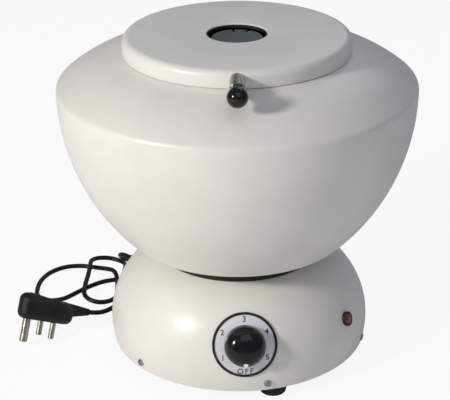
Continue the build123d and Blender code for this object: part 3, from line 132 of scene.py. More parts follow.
# Finishes, each started from what the real one is. A size is that of a pattern's lumps in metres, or about
# three spacings of bands and rings, and nodes are the frame's own pieces that wear the finish.
sheetBands = {
    "texture": "ShaderNodeTexWave",
    "settings": {"wave_type": "BANDS", "bands_direction": "Z"},
    "size": 0.0032,
    "inputs": {"Distortion": 0.2},
}
latheRings = {
    "texture": "ShaderNodeTexWave",
    "settings": {"wave_type": "RINGS", "rings_direction": "Z"},
    "size": 0.0022,
    "inputs": {"Distortion": 0.4, "Detail": 1.0},
}
finishes = {
    # Warm white stoving enamel on spun steel: satin, with a faint orange peel
    "stoveEnamel": {
        "looks": {"IOR": 1.5, "Coat Weight": 0.12, "Coat Roughness": 0.22},
        "drift": {"size": 0.045, "detail": 3.0},
        "roughness": (0.37, 0.44), "colours": ("#E6E3DC", "#EBE8E2"),
        "relief": {"size": 0.0016, "detail": 1.0},
        "depth": 0.00004, "strength": 0.6,
        "nodes": "base_shell bowl_pan bowl_shell bowl_top lid_shell",
    },
    # Black phenolic moulding, polished in the tool, with faint flow marks and handling haze
    "phenolicKnob": {
        "looks": {"IOR": 1.5, "Specular IOR Level": 0.35, "Coat Weight": 0.15, "Coat Roughness": 0.06},
        "drift": {"size": 0.006, "detail": 3.0},
        "roughness": (0.12, 0.24), "colours": ("#0A0A0B", "#111112"),
        "relief": {"size": 0.0012, "detail": 2.0},
        "depth": 0.00001, "strength": 0.4,
        "nodes": "control_knob lid_knob",
    },
    # Clear anodised aluminium with a fine straight grain under the print
    "anodisedDial": {
        "looks": {"Metallic": 0.35},
        "drift": {"size": 0.0006, "detail": 2.0, "stretch": (0.12, 1, 1)},
        "roughness": (0.34, 0.46), "colours": ("#DEDEE2", "#E8E8EC"),
        "relief": {"size": 0.0005, "detail": 1.0, "stretch": (0.08, 1, 1)},
        "depth": 0.00001, "strength": 0.5,
        "nodes": "dial_plate",
    },
    # Brown-black screen ink, a little thin where the mesh shows
    "screenInk": {
        "looks": {"IOR": 1.5},
        "drift": {"size": 0.0007, "detail": 2.0},
        "roughness": (0.45, 0.6), "colours": ("#1D1812", "#2C261D"),
        "relief": {"size": 0.0004, "detail": 1.0},
        "depth": 0.000012, "strength": 0.5,
        "nodes": "",
    },
    # Dark lacquered brass bezel, worn brownish on its upper edge
    "bezelLacquer": {
        "looks": {"IOR": 1.5, "Specular IOR Level": 0.35},
        "drift": {"size": 0.009, "detail": 3.0},
        "roughness": (0.28, 0.42), "colours": ("#16130D", "#2B2518"),
        "relief": {"size": 0.0008, "detail": 1.0},
        "depth": 0.00001, "strength": 0.4,
        "nodes": "dial_ring lamp_bezel",
    },
    # White filler paint in the knob's pointer
    "pointerPaint": {
        "looks": {"IOR": 1.5},
        "drift": {"size": 0.001, "detail": 2.0},
        "roughness": (0.3, 0.42), "colours": ("#E9E9E4", "#F4F4F1"),
        "relief": {"size": 0.0005, "detail": 1.0},
        "depth": 0.00001, "strength": 0.4,
        "nodes": "knob_pointer",
    },
    # Bright nickel plate gone a little yellow, with hairline scratches from handling
    "nickelPlate": {
        "looks": {"Metallic": 1.0},
        "drift": {"size": 0.009, "detail": 2.0},
        "roughness": (0.26, 0.34), "colours": ("#A9A294", "#B8B1A3"),
        "relief": {"size": 0.0006, "detail": 2.0, "stretch": (1, 0.1, 1)},
        "depth": 0.000008, "strength": 0.5,
        "nodes": "knob_ferrule hinge_lid_leaf hinge_base_leaf plug_pins",
    },
    # Zinc-plated steel, dull and slightly blue
    "zincScrews": {
        "looks": {"Metallic": 1.0},
        "drift": {"size": 0.0015, "detail": 3.0},
        "roughness": (0.32, 0.5), "colours": ("#8F9294", "#B3B5B5"),
        "relief": {"size": 0.0006, "detail": 2.0},
        "depth": 0.00002, "strength": 0.5,
        "nodes": (
            "side_screws foot_screws hinge_lid_screws hinge_base_screws hinge_pin mounting_bolts "
            "regulator_nut"
        ),
    },
    # Galvanised sheet under the base, with the soft grain of its zinc crystals
    "zincSheet": {
        "looks": {"Metallic": 1.0},
        "drift": {"texture": "ShaderNodeTexVoronoi", "size": 0.007, "output": "Color"},
        "roughness": (0.38, 0.56), "colours": ("#8C9092", "#A9ACAD"), "span": (0.1, 0.9),
        "relief": {"size": 0.0012, "detail": 2.0},
        "depth": 0.00002, "strength": 0.5,
        "nodes": "base_plate",
    },
    # Moulded black rubber, matt, with dust caught in its pores
    "footRubber": {
        "looks": {"IOR": 1.52},
        "drift": {"size": 0.004, "detail": 5.0},
        "roughness": (0.62, 0.82), "colours": ("#0C0C0E", "#1A1A1B"),
        "relief": {"size": 0.0007, "detail": 3.0},
        "depth": 0.00006, "strength": 0.6,
        "nodes": "rubber_feet motor_isolators opening_gasket neck_collar shaft_seal",
    },
    # Black plasticised PVC, drawn smooth, with a waxy sheen
    "cordVinyl": {
        "looks": {"IOR": 1.54, "Specular IOR Level": 0.3},
        "drift": {"size": 0.012, "detail": 3.0},
        "roughness": (0.34, 0.5), "colours": ("#09090A", "#101011"),
        "relief": {"size": 0.0008, "detail": 2.0},
        "depth": 0.00002, "strength": 0.5,
        "nodes": "cord_gland cord_lead cord_coil cord_run plug_relief",
    },
    # The plug's moulding: the same PVC with the fine spark-eroded grain of its tool
    "plugVinyl": {
        "looks": {"IOR": 1.54, "Specular IOR Level": 0.3},
        "drift": {"size": 0.01, "detail": 3.0},
        "roughness": (0.42, 0.58), "colours": ("#0B0B0C", "#141415"),
        "relief": {"size": 0.0006, "detail": 2.0},
        "depth": 0.00005, "strength": 0.6,
        "nodes": "plug_body",
    },
    # Dark red polycarbonate, clear enough to glow at its edge
    "lampLens": {
        "looks": {"IOR": 1.58, "Transmission Weight": 0.35, "Coat Weight": 0.5, "Coat Roughness": 0.04},
        "drift": {"size": 0.003, "detail": 2.0},
        "roughness": (0.08, 0.16), "colours": ("#6E1210", "#8C1B16"),
        "relief": {"size": 0.0012, "detail": 1.0},
        "depth": 0.00001, "strength": 0.3,
        "nodes": "lamp_lens",
    },
    # Lathe-turned aluminium, its colour painted dark grey for the shade it sits in under the lid, with its
    # feed marks drawn coarse enough to show
    "shadedTurnedAluminium": {
        "looks": {"Metallic": 0.5},
        "drift": {"size": 0.004, "detail": 3.0},
        "roughness": (0.38, 0.48), "colours": ("#505B5B", "#5A6564"),
        "relief": latheRings,
        "depth": 0.00001, "strength": 0.5,
        "nodes": "rotor_nut trunnion_ring_1 trunnion_ring_2 trunnion_ring_3 trunnion_ring_4",
    },
    # Die-cast aluminium, matt and slightly pitted
    "castAluminium": {
        "looks": {"Metallic": 0.9},
        "drift": {"size": 0.003, "detail": 4.0},
        "roughness": (0.42, 0.6), "colours": ("#8E9292", "#A8ABAA"),
        "relief": {"size": 0.0011, "detail": 3.0},
        "depth": 0.00005, "strength": 0.7,
        "nodes": "motor_top_cap motor_bottom_cap rotor_head",
    },
    # Deep-drawn stainless steel cups, with faint draw lines down their sides
    "deepDrawnSteel": {
        "looks": {"Metallic": 1.0},
        "drift": {"size": 0.0012, "detail": 2.0, "stretch": (1, 1, 0.05)},
        "roughness": (0.22, 0.36), "colours": ("#A9ABAC", "#C2C3C3"),
        "relief": {"size": 0.0009, "detail": 1.0, "stretch": (1, 1, 0.04)},
        "depth": 0.00001, "strength": 0.5,
        "nodes": "bucket_cup_1 bucket_cup_2 bucket_cup_3 bucket_cup_4",
    },
    # Ground steel of the shaft and bearings, with fine marks around it
    "groundSteel": {
        "looks": {"Metallic": 1.0},
        "drift": {"size": 0.0008, "detail": 2.0, "stretch": (0.2, 0.2, 1)},
        "roughness": (0.18, 0.3), "colours": ("#9C9EA0", "#B9BBBC"),
        "relief": {"size": 0.0005, "detail": 1.0, "stretch": (0.1, 0.1, 1)},
        "depth": 0.000008, "strength": 0.5,
        "nodes": "shaft_bearings motor_shaft",
    },
    # Blued silicon steel sheets of half a millimetre, drawn at one millimetre so that they show
    "laminations": {
        "looks": {"Metallic": 0.8},
        "drift": sheetBands,
        "roughness": (0.4, 0.6), "colours": ("#2B2F36", "#4A4E55"), "span": (0.2, 0.8),
        "relief": sheetBands,
        "depth": 0.00008, "strength": 0.6,
        "nodes": "stator_core armature",
    },
    # Lacquered copper winding wire
    "enamelledCopper": {
        "looks": {"Metallic": 0.7},
        "drift": {"size": 0.0008, "detail": 2.0, "stretch": (0.15, 0.15, 1)},
        "roughness": (0.28, 0.42), "colours": ("#7C3A1C", "#A85A30"),
        "relief": {"size": 0.0007, "detail": 1.0, "stretch": (0.1, 0.1, 1)},
        "depth": 0.00006, "strength": 0.7,
        "nodes": "field_coils",
    },
    # Drawn brass, dulled
    "machinedBrass": {
        "looks": {"Metallic": 1.0},
        "drift": {"size": 0.002, "detail": 3.0},
        "roughness": (0.26, 0.4), "colours": ("#A98A4E", "#C5A565"),
        "relief": {"size": 0.0006, "detail": 2.0},
        "depth": 0.00001, "strength": 0.5,
        "nodes": "regulator_spindle commutator",
    },
    # Grey-green air-drying enamel on the motor's tube
    "motorGrey": {
        "looks": {"IOR": 1.5},
        "drift": {"size": 0.01, "detail": 4.0},
        "roughness": (0.4, 0.56), "colours": ("#4B5552", "#5A6561"),
        "relief": {"size": 0.0014, "detail": 2.0},
        "depth": 0.00005, "strength": 0.6,
        "nodes": "motor_housing",
    },
    # Brown phenolic of the regulator and brush holders, with its wood-flour fleck
    "brownPhenolic": {
        "looks": {"IOR": 1.6},
        "drift": {"size": 0.0018, "detail": 5.0},
        "roughness": (0.36, 0.5), "colours": ("#2A1A12", "#3F281B"),
        "relief": {"size": 0.0009, "detail": 2.0},
        "depth": 0.00002, "strength": 0.5,
        "nodes": "regulator_housing brush_holders lamp_holder",
    },
    # Pressed carbon, dark and powdery
    "brushCarbon": {
        "looks": {"IOR": 1.8},
        "drift": {"size": 0.0012, "detail": 4.0},
        "roughness": (0.5, 0.7), "colours": ("#1B1B1D", "#2E2E30"),
        "relief": {"size": 0.0006, "detail": 3.0},
        "depth": 0.00004, "strength": 0.6,
        "nodes": "carbon_brushes",
    },
    # Natural nylon of the terminal block, slightly yellow
    "nylonBlock": {
        "looks": {"IOR": 1.53, "Subsurface Weight": 0.1},
        "drift": {"size": 0.006, "detail": 3.0},
        "roughness": (0.4, 0.55), "colours": ("#D9D0B6", "#E6DEC8"),
        "relief": {"size": 0.0009, "detail": 2.0},
        "depth": 0.00002, "strength": 0.5,
        "nodes": "terminal_block",
    },
}
materials = {}
for finishName, finish in finishes.items():
    materials[finishName] = makeFinish(finishName, finish)
    for nodeName in finish["nodes"].split():
        for materialSlot in nodes[nodeName].material_slots:
            materialSlot.material = materials[finishName]
stage(f"{len(materials)} finishes, set on the frame's own pieces")


# Mains cord: the route's points in metres, from the gland to the coil behind, then round to the plug
cordPiece = {
    "diameter": 0.0044,
    "floorHeight": 0.0023,
    "coilCentre": (-0.010, 0.150),
    "coilRadii": (0.0206, 0.0250, 0.0294),
    "coilTurns": 5.5,
    "turnPoints": 24,
    "shiftStarts": (0.79, 0.79, 0.66, 0.54, 0.54, 0.54),  # where in each turn the cord moves to the next
    "shiftSpan": 0.125,
    "coilEnd": (-0.0215, 0.1206, 0.0064),
    "lead": [
        (-0.10218, 0.10218, 0.0281),
        (-0.10996, 0.10996, 0.0281),
        (-0.116, 0.122, 0.022),
        (-0.112, 0.134, 0.011),
        (-0.100, 0.145, 0.0032),
        (-0.083, 0.155, 0.0023),
        (-0.064, 0.1645, 0.0023),
        (-0.044, 0.172, 0.0023),
        (-0.026, 0.1786, 0.0023),
    ],
    "run": [
        (-0.033, 0.1215, 0.0023),
        (-0.056, 0.117, 0.0023),
        (-0.080, 0.1135, 0.0023),
        (-0.104, 0.1095, 0.0023),
        (-0.127, 0.106, 0.0023),
        (-0.141, 0.096, 0.0023),
        (-0.152, 0.084, 0.0023),
        (-0.166, 0.067, 0.0023),
        (-0.181, 0.0655, 0.0023),
        (-0.1915, 0.075, 0.0023),
        (-0.1925, 0.092, 0.0023),
        (-0.191, 0.108, 0.0023),
        (-0.184, 0.124, 0.0023),
        (-0.171, 0.135, 0.0023),
        (-0.155, 0.1375, 0.0023),
        (-0.140, 0.133, 0.0023),
        (-0.129, 0.126, 0.0045),
        (-0.1205, 0.1155, 0.0082),
        (-0.1165, 0.100, 0.0082),
        (-0.1155, 0.086, 0.0032),
        (-0.1155, 0.0672, 0.0026),
        (-0.1308, 0.0583, 0.0030),
        (-0.1461, 0.0672, 0.0052),
        (-0.1463, 0.086, 0.0082),
        (-0.1452, 0.101, 0.0082),
        (-0.1448, 0.121, 0.0082),
        (-0.1455, 0.141, 0.0082),
        (-0.12825, 0.1509, 0.0045),
        (-0.111, 0.141, 0.0032),
        (-0.1105, 0.119, 0.0082),
        (-0.111, 0.099, 0.0082),
        (-0.1102, 0.078, 0.0030),
        (-0.1115, 0.062, 0.0023),
        (-0.1195, 0.048, 0.0023),
    ],
}
plugPlace = {
    "origin": Vector((-0.172, 0.003, 0.0164)),
    "across": Vector((0.668, -0.717, 0.189)).normalized(),
    "back": Vector((0.186, 0.410, 0.893)).normalized(),
    "axisRise": 0.011,
    "cordStart": 0.04414,
    "cordStraight": 0.012,
}


def smoothStep(value):
    value = min(max(value, 0.0), 1.0)
    return value * value * (3 - 2 * value)


def coilPoints():
    # three turns inwards on the floor, up at the inside, then two and a half outwards on top
    inner, middle, outer = (radius / cos(pi / cordPiece["turnPoints"]) for radius in cordPiece["coilRadii"])
    lanes = [outer, middle, inner, inner, middle, outer]
    low = cordPiece["floorHeight"]
    high = low + cordPiece["diameter"]
    points = []
    for count in range(int(cordPiece["coilTurns"] * cordPiece["turnPoints"]) + 1):
        lane, step = divmod(count, cordPiece["turnPoints"])
        phase = step / cordPiece["turnPoints"]
        shift = smoothStep((phase - cordPiece["shiftStarts"][lane]) / cordPiece["shiftSpan"])
        radius = lanes[lane]
        if lane != 2 and lane < 5:
            radius += (lanes[lane + 1] - radius) * shift
        height = low if lane < 2 else (low + (high - low) * shift if lane == 2 else high)
        turn = 2 * pi * phase
        centreX, centreY = cordPiece["coilCentre"]
        points.append((centreX + radius * sin(turn), centreY + radius * cos(turn), height))
    return points


plugDown = plugPlace["back"].cross(plugPlace["across"]).normalized()  # the way the cord leaves the plug
plugAxis = plugPlace["origin"] + plugPlace["back"] * plugPlace["axisRise"]
cordEnd = plugAxis + plugDown * plugPlace["cordStart"]
cordBeforeEnd = plugAxis + plugDown * (plugPlace["cordStart"] + plugPlace["cordStraight"])
route = cordPiece["lead"] + coilPoints() + [cordPiece["coilEnd"]] + cordPiece["run"]
route += [tuple(cordBeforeEnd), tuple(cordEnd)]

cordLine = bpy.data.curves.new("mainsCord", "CURVE")
cordLine.dimensions = "3D"
cordSpline = cordLine.splines.new("NURBS")
cordSpline.points.add(len(route) - 1)
for point, place in zip(cordSpline.points, route):
    point.co = (*place, 1.0)
cordSpline.order_u = 3
cordSpline.use_endpoint_u = True
cordSpline.resolution_u = 8
cordLine.bevel_depth = cordPiece["diameter"] / 2
cordLine.bevel_resolution = 4
cordLine.use_fill_caps = True
mainsCord = bpy.data.objects.new("mainsCord", cordLine)
bpy.context.scene.collection.objects.link(mainsCord)
mainsCord.data.materials.append(materials["cordVinyl"])
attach(mainsCord, "stand")
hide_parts("cord_lead", "cord_coil", "cord_run")
stage("mains cord")


# Small helpers for finished pieces


def placed(piece, matrix):
    piece.matrix_world = matrix @ piece.matrix_world
    clearSelection()
    piece.select_set(True)
    bpy.context.view_layer.objects.active = piece
    bpy.ops.object.transform_apply(location=True, rotation=True, scale=True)
    return piece


def finished(piece, material, body, angle=35):
    clearSelection()
    piece.select_set(True)
    bpy.context.view_layer.objects.active = piece
    bpy.ops.object.shade_smooth_by_angle(angle=radians(angle))
    piece.data.materials.clear()
    piece.data.materials.append(materials[material])
    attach(piece, body)
    return piece


# The coil's tie: a flat vinyl band drawn round the turns
tie = {
    "turn": radians(205),
    "halfWidth": 0.0072,
    "halfHeight": 0.0046,
    "thickness": 0.0007,
    "band": 0.0035,
    "edge": 0.0002,
}
clearSelection()
bpy.ops.mesh.primitive_cylinder_add(vertices=32, radius=1, depth=tie["band"], end_fill_type="NOTHING")
coilTie = bpy.context.object
coilTie.name = "coilTie"
bpy.ops.object.modifier_add(type="SOLIDIFY")
coilTie.modifiers["Solidify"].thickness = tie["thickness"]
coilTie.scale = (tie["halfWidth"], tie["halfHeight"], 1)
bpy.ops.object.transform_apply(location=False, rotation=False, scale=True)
bpy.ops.object.modifier_apply(modifier="Solidify")
bpy.ops.object.modifier_add(type="BEVEL")
coilTie.modifiers["Bevel"].width = tie["edge"]
bpy.ops.object.modifier_apply(modifier="Bevel")
coilX, coilY = cordPiece["coilCentre"]
coilMiddle = Vector((coilX, coilY, cordPiece["floorHeight"] + cordPiece["diameter"] / 2))
tieMiddle = coilMiddle + cordPiece["coilRadii"][1] * Vector((sin(tie["turn"]), cos(tie["turn"]), 0))
tieTurn = Matrix.Rotation(pi / 2 - tie["turn"], 4, "Z") @ Matrix.Rotation(pi / 2, 4, "X")
placed(coilTie, Matrix.Translation(tieMiddle) @ tieTurn)
finished(coilTie, "cordVinyl", "stand")
stage("coil tie")


# Outlines of turned and spun pieces, as (radius, height) in metres


def arcOutline(centre, radius, start, end, steps):
    return [
        (
            centre[0] + radius * cos(start + (end - start) * step / steps),
            centre[1] + radius * sin(start + (end - start) * step / steps),
        )
        for step in range(steps + 1)
    ]


def softOutline(corners, steps=5):
    # each corner is (radius, height, rounding); a rounding of 0 keeps the corner as it is
    points = []
    for index, (across, up, rounding) in enumerate(corners):
        corner = Vector((across, up))
        if not rounding:
            points.append((across, up))
            continue
        toBefore = (Vector(corners[index - 1][:2]) - corner).normalized()
        toAfter = (Vector(corners[(index + 1) % len(corners)][:2]) - corner).normalized()
        half = toBefore.angle(toAfter) / 2
        centre = corner + (toBefore + toAfter).normalized() * rounding / sin(half)
        start = corner + toBefore * rounding / tan(half) - centre
        sweep = start.angle_signed(corner + toAfter * rounding / tan(half) - centre)
        first = atan2(start.y, start.x)
        points += arcOutline(centre, rounding, first, first - sweep, steps)
    return points


def turnedPiece(name, outline, sides=96, closed=False):
    # drawn up ring by ring from a circle, as on a lathe
    clearSelection()
    radius, height = outline[0]
    bpy.ops.mesh.primitive_circle_add(vertices=sides, radius=radius)
    piece = bpy.context.object
    piece.name = name
    bpy.ops.object.mode_set(mode="EDIT")
    bpy.ops.mesh.select_all(action="SELECT")
    bpy.ops.transform.translate(value=(0, 0, height))
    rings = outline[1:] + (outline[:1] if closed else [])
    for nextRadius, nextHeight in rings:
        bpy.ops.mesh.extrude_edges_move(TRANSFORM_OT_translate={"value": (0, 0, nextHeight - height)})
        grow = nextRadius / radius
        bpy.ops.transform.resize(value=(grow, grow, 1), center_override=(0, 0, nextHeight))
        radius, height = nextRadius, nextHeight
    bpy.ops.mesh.select_all(action="SELECT")
    bpy.ops.mesh.remove_doubles(threshold=0.000002)
    bpy.ops.mesh.fill_holes(sides=0)
    bpy.ops.mesh.normals_make_consistent(inside=False)
    bpy.ops.object.mode_set(mode="OBJECT")
    return piece


# Bowl: spun steel, from the flat floor up the bulging wall, over the shoulder to the neck
bowl = {
    "radius": 0.150,
    "floor": 0.108,
    "wallCurve": 0.180,
    "wallTop": 0.2405,
    "heelRounding": 0.010,
    "shoulderRise": 0.0038,
    "shoulderRounding": 0.006,
    "coneRise": 0.0281,
    "coneBulge": 0.005,
    "neckRadius": 0.088,
    "neckHeight": 0.0094,
    "neckRounding": 0.0015,
    "sheet": 0.0016,
    "shaftHole": 0.012,
}
shoulderHeight = bowl["wallTop"] + bowl["shoulderRise"]
coneTop = shoulderHeight + bowl["coneRise"]
neckTop = coneTop + bowl["neckHeight"]
coneChord = Vector((bowl["neckRadius"] - bowl["radius"], coneTop - shoulderHeight))
coneOut = Vector((coneChord.y, -coneChord.x)).normalized()
coneCurve = (coneChord.length**2 / 4 + bowl["coneBulge"] ** 2) / (2 * bowl["coneBulge"])
coneMiddle = Vector((bowl["radius"], shoulderHeight)) + coneChord / 2 + coneOut * bowl["coneBulge"]
coneCentre = coneMiddle - coneOut * coneCurve


def coneHeight(radius, inset=0.0):
    return coneCentre.y + sqrt((coneCurve - inset) ** 2 - (radius - coneCentre.x) ** 2)


def bowlWall(inset):
    # the wall from its heel to the neck, that far inside the outer face
    curve = bowl["wallCurve"] - inset
    middle = (bowl["radius"] - bowl["wallCurve"], bowl["wallTop"])
    heel = asin((bowl["wallTop"] - bowl["floor"] - inset) / curve)
    heelCut = (bowl["heelRounding"] - inset) * tan((pi / 2 - heel) / 2)
    heelCorner = (middle[0] + curve * cos(heel), bowl["floor"] + inset)
    wall = arcOutline(middle, curve, heelCut / curve - heel, 0, 26)
    heelArc = softOutline(
        [(0.02, heelCorner[1], 0), (*heelCorner, bowl["heelRounding"] - inset), (*wall[1], 0)]
    )
    side = bowl["radius"] - inset
    neck = bowl["neckRadius"] - inset
    shoulder = Vector((side, coneHeight(side, inset)))
    neckCorner = Vector((neck, coneHeight(neck, inset)))
    start = atan2(shoulder.y - coneCentre.y, shoulder.x - coneCentre.x)
    end = atan2(neckCorner.y - coneCentre.y, neckCorner.x - coneCentre.x)
    shoulderCut = (bowl["shoulderRounding"] - inset) * tan(start / 2)
    neckCut = (bowl["neckRounding"] + inset) * tan((pi / 2 - end + pi / 2) / 4)
    coneStart, coneEnd = start + shoulderCut / coneCurve, end - neckCut / coneCurve
    cone = arcOutline(coneCentre, coneCurve - inset, coneStart, coneEnd, 18)
    shoulderArc = softOutline(
        [(side, bowl["wallTop"], 0), (*shoulder, bowl["shoulderRounding"] - inset), (*cone[0], 0)]
    )
    neckArc = softOutline([(*cone[-1], 0), (*neckCorner, bowl["neckRounding"] + inset), (neck, neckTop, 0)])
    return heelArc[1:-1] + wall + shoulderArc[1:-1] + cone + neckArc[1:-1]


bowlOutline = (
    [(bowl["shaftHole"], bowl["floor"])]
    + bowlWall(0.0)
    + [(bowl["neckRadius"], neckTop), (bowl["neckRadius"] - bowl["sheet"], neckTop)]
    + bowlWall(bowl["sheet"])[::-1]
    + [(bowl["shaftHole"], bowl["floor"] + bowl["sheet"])]
)
bowlPiece = turnedPiece("bowl", bowlOutline, sides=160, closed=True)
finished(bowlPiece, "stoveEnamel", "stand")
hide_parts("bowl_pan", "bowl_shell", "bowl_top")
stage("bowl")


# Base: a pressed dome, whose arc turns in a little at its rim
base = {"top": 0.0981, "curve": 0.070, "axisRadius": 0.0425, "rim": 0.012, "sheet": 0.0016, "hole": 0.022}


def domeArc(inset, steps=30):
    centre = (base["axisRadius"], base["top"] - base["curve"])
    curve = base["curve"] - inset
    return arcOutline(centre, curve, pi / 2, asin((base["rim"] - centre[1]) / curve), steps)


baseOutline = (
    [(base["hole"], base["top"])]
    + domeArc(0.0)
    + domeArc(base["sheet"])[::-1]
    + [(base["hole"], base["top"] - base["sheet"])]
)
basePiece = turnedPiece("baseDome", baseOutline, sides=160, closed=True)
finished(basePiece, "stoveEnamel", "stand")
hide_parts("base_shell")
stage("base")


# Neck collar: soft rubber between the dome and the bowl's flat floor, partly real and partly painted shade:
# its black reaches out to be seen as a dark crescent, standing for the shade in the gap under the bowl
collar = {"inner": 0.028, "outer": 0.0695, "edge": 0.0012, "sink": 0.0004}  # sink takes it down to the dome
collarFoot = [point for point in domeArc(0.0, 60) if point[0] < collar["outer"]]
collarAndShadeOutline = (
    [(collar["inner"], base["top"])]
    + collarFoot
    + [(collar["outer"], collarFoot[-1][1] - collar["sink"])]
    + [(collar["outer"], bowl["floor"] - collar["edge"])]
    + [(collar["outer"] - collar["edge"], bowl["floor"]), (collar["inner"], bowl["floor"])]
)
collarAndShadePiece = turnedPiece("neckCollarAndShade", collarAndShadeOutline, sides=120, closed=True)
finished(collarAndShadePiece, "footRubber", "stand")
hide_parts("neck_collar")
stage("neck collar")


# Lid: a shallow pan, upside down, with a lipped port over the spin axis
lid = {"radius": 0.0945, "height": 0.0139, "rounding": 0.006, "gap": 0.0004, "port": 0.025, "lip": 0.002}
sheet = bowl["sheet"]
lidBottom = coneHeight(lid["radius"] - sheet) + lid["gap"]
lidTop = lidBottom + lid["height"]
lidOutline = softOutline(
    [
        (lid["port"], lidTop - sheet - lid["lip"], 0),
        (lid["port"], lidTop, 0.0007),
        (lid["radius"], lidTop, lid["rounding"]),
        (lid["radius"], lidBottom, 0.0003),
        (lid["radius"] - sheet, lidBottom, 0.0003),
        (lid["radius"] - sheet, lidTop - sheet, lid["rounding"] - sheet),
        (lid["port"] + sheet, lidTop - sheet, 0.0005),
        (lid["port"] + sheet, lidTop - sheet - lid["lip"], 0.0003),
    ],
    steps=8,
)
lidPiece = turnedPiece("lid", lidOutline, sides=160, closed=True)
finished(lidPiece, "stoveEnamel", "lid")
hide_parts("lid_shell")

# Port liner, painted shade: a thin black band inside the lip, standing for the shade on the port's inner edge
shadeBand = {"thickness": 0.0005, "gap": 0.00002, "below": 0.0011, "edge": 0.0002}
shadeBandInner, shadeBandOuter = lid["port"] - shadeBand["thickness"], lid["port"] - shadeBand["gap"]
shadeBandTop, shadeBandBottom = lidTop - shadeBand["below"], lidTop - sheet - lid["lip"]
shadeBandOutline = softOutline(
    [
        (shadeBandInner, shadeBandTop, shadeBand["edge"]),
        (shadeBandOuter, shadeBandTop, 0),
        (shadeBandOuter, shadeBandBottom, 0),
        (shadeBandInner, shadeBandBottom, shadeBand["edge"]),
    ]
)
portShadeBand = turnedPiece("portShadeBand", shadeBandOutline, sides=160, closed=True)
finished(portShadeBand, "footRubber", "lid")
# the port liner in this stage's text is the black band of painted shade
stage("lid and its port liner")


# Control knob: a rounded phenolic moulding just clear of the dial
knob = {
    "radius": 0.0172,
    "underRadius": 0.0166,
    "bore": 0.0075,
    "boreRise": 0.001,
    "height": 0.0170,
    "lift": 0.0020,
    "roundness": 2.7,
    "rings": 14,
}
knobOutline = [
    (knob["radius"] * max(1 - (step / knob["rings"]) ** knob["roundness"], 0.0) ** (1 / knob["roundness"]),
     knob["lift"] + knob["height"] * step / knob["rings"])
    for step in range(knob["rings"])
]
topRadius, topHeight = knobOutline[-1]
knobOutline += [
    (topRadius * (1 - share), topHeight + (knob["lift"] + knob["height"] - topHeight) * rise)
    for share, rise in ((0.25, 0.45), (0.5, 0.8), (0.75, 0.96), (0.98, 1.0))  # closes the crown
]


# Dial print: OFF at the bottom, then 1 to 5 clockwise every sixty degrees, laid on the curved plate
dial = {
    "azimuth": radians(2.5),
    "height": 0.054,
    "plateThickness": 0.0008,
    "printRadius": 0.0211,
    "offRadius": 0.0221,
    "letterHeight": 0.0044,
    "capitalShare": 0.69,  # a capital's height over the text's size
    "letterSpacing": 1.35,
    "letterWeight": 0.00009,
    "printLift": 0.00006,
    "marks": {"OFF": 0, "1": 60, "2": 120, "3": 180, "4": 240, "5": 300},
}
domeCentreHeight = base["top"] - base["curve"]
dialLean = asin((dial["height"] - domeCentreHeight) / base["curve"])
dialRadius = base["axisRadius"] + base["curve"] * cos(dialLean)
dialSide, dialFront = sin(dial["azimuth"]), -cos(dial["azimuth"])
dialOut = Vector((cos(dialLean) * dialSide, cos(dialLean) * dialFront, sin(dialLean)))
dialRight = Vector((cos(dial["azimuth"]), sin(dial["azimuth"]), 0))
dialUp = dialOut.cross(dialRight)
dialPlace = Matrix.Translation((dialRadius * dialSide, dialRadius * dialFront, dial["height"])) @ Matrix(
    (dialRight, dialUp, dialOut)
).transposed().to_4x4()


def layOnDome(piece, lift):
    # each point goes in along the dial's axis, in a few steps, until it is that far off the dome
    surface = base["curve"] + lift
    for vertex in piece.data.vertices:
        place = vertex.co.copy()
        for step in range(12):
            radius = sqrt(place.x**2 + place.y**2)
            across = radius - base["axisRadius"]
            up = place.z - domeCentreHeight
            off = sqrt(across**2 + up**2) - surface
            outward = Vector((across * place.x / radius, across * place.y / radius, up)).normalized()
            place -= dialOut * off / max(outward.dot(dialOut), 0.3)
        vertex.co = place


def dialLetter(name, words, turnClockwise):
    # turnClockwise is counted from straight down, as the knob turns
    clearSelection()
    bpy.ops.object.text_add()
    letter = bpy.context.object
    letter.name = name
    letter.data.body = words
    letter.data.size = dial["letterHeight"] / dial["capitalShare"]
    letter.data.align_x = "CENTER"
    letter.data.align_y = "CENTER"
    letter.data.space_character = dial["letterSpacing"]
    letter.data.offset = dial["letterWeight"]
    bpy.ops.object.convert(target="MESH")
    letter = bpy.context.object
    bpy.ops.object.mode_set(mode="EDIT")
    bpy.ops.mesh.select_all(action="SELECT")
    bpy.ops.mesh.remove_doubles(threshold=0.00002)
    bpy.ops.mesh.quads_convert_to_tris()
    bpy.ops.mesh.subdivide(number_cuts=1)
    bpy.ops.object.mode_set(mode="OBJECT")
    turn = -pi / 2 - radians(turnClockwise)
    radius = dial["printRadius"] if turnClockwise else dial["offRadius"]
    place = Matrix.Translation((radius * cos(turn), radius * sin(turn), 0))
    placed(letter, dialPlace @ place)
    layOnDome(letter, dial["plateThickness"] + dial["printLift"])
    finished(letter, "screenInk", "stand")
    return letter


knobUnder = [(knob["bore"], knob["lift"] + knob["boreRise"]), (knob["underRadius"], knob["lift"])]
knobPiece = placed(turnedPiece("controlKnob", knobUnder + knobOutline), dialPlace)
finished(knobPiece, "phenolicKnob", "regulator")
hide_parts("control_knob")
stage("control knob")


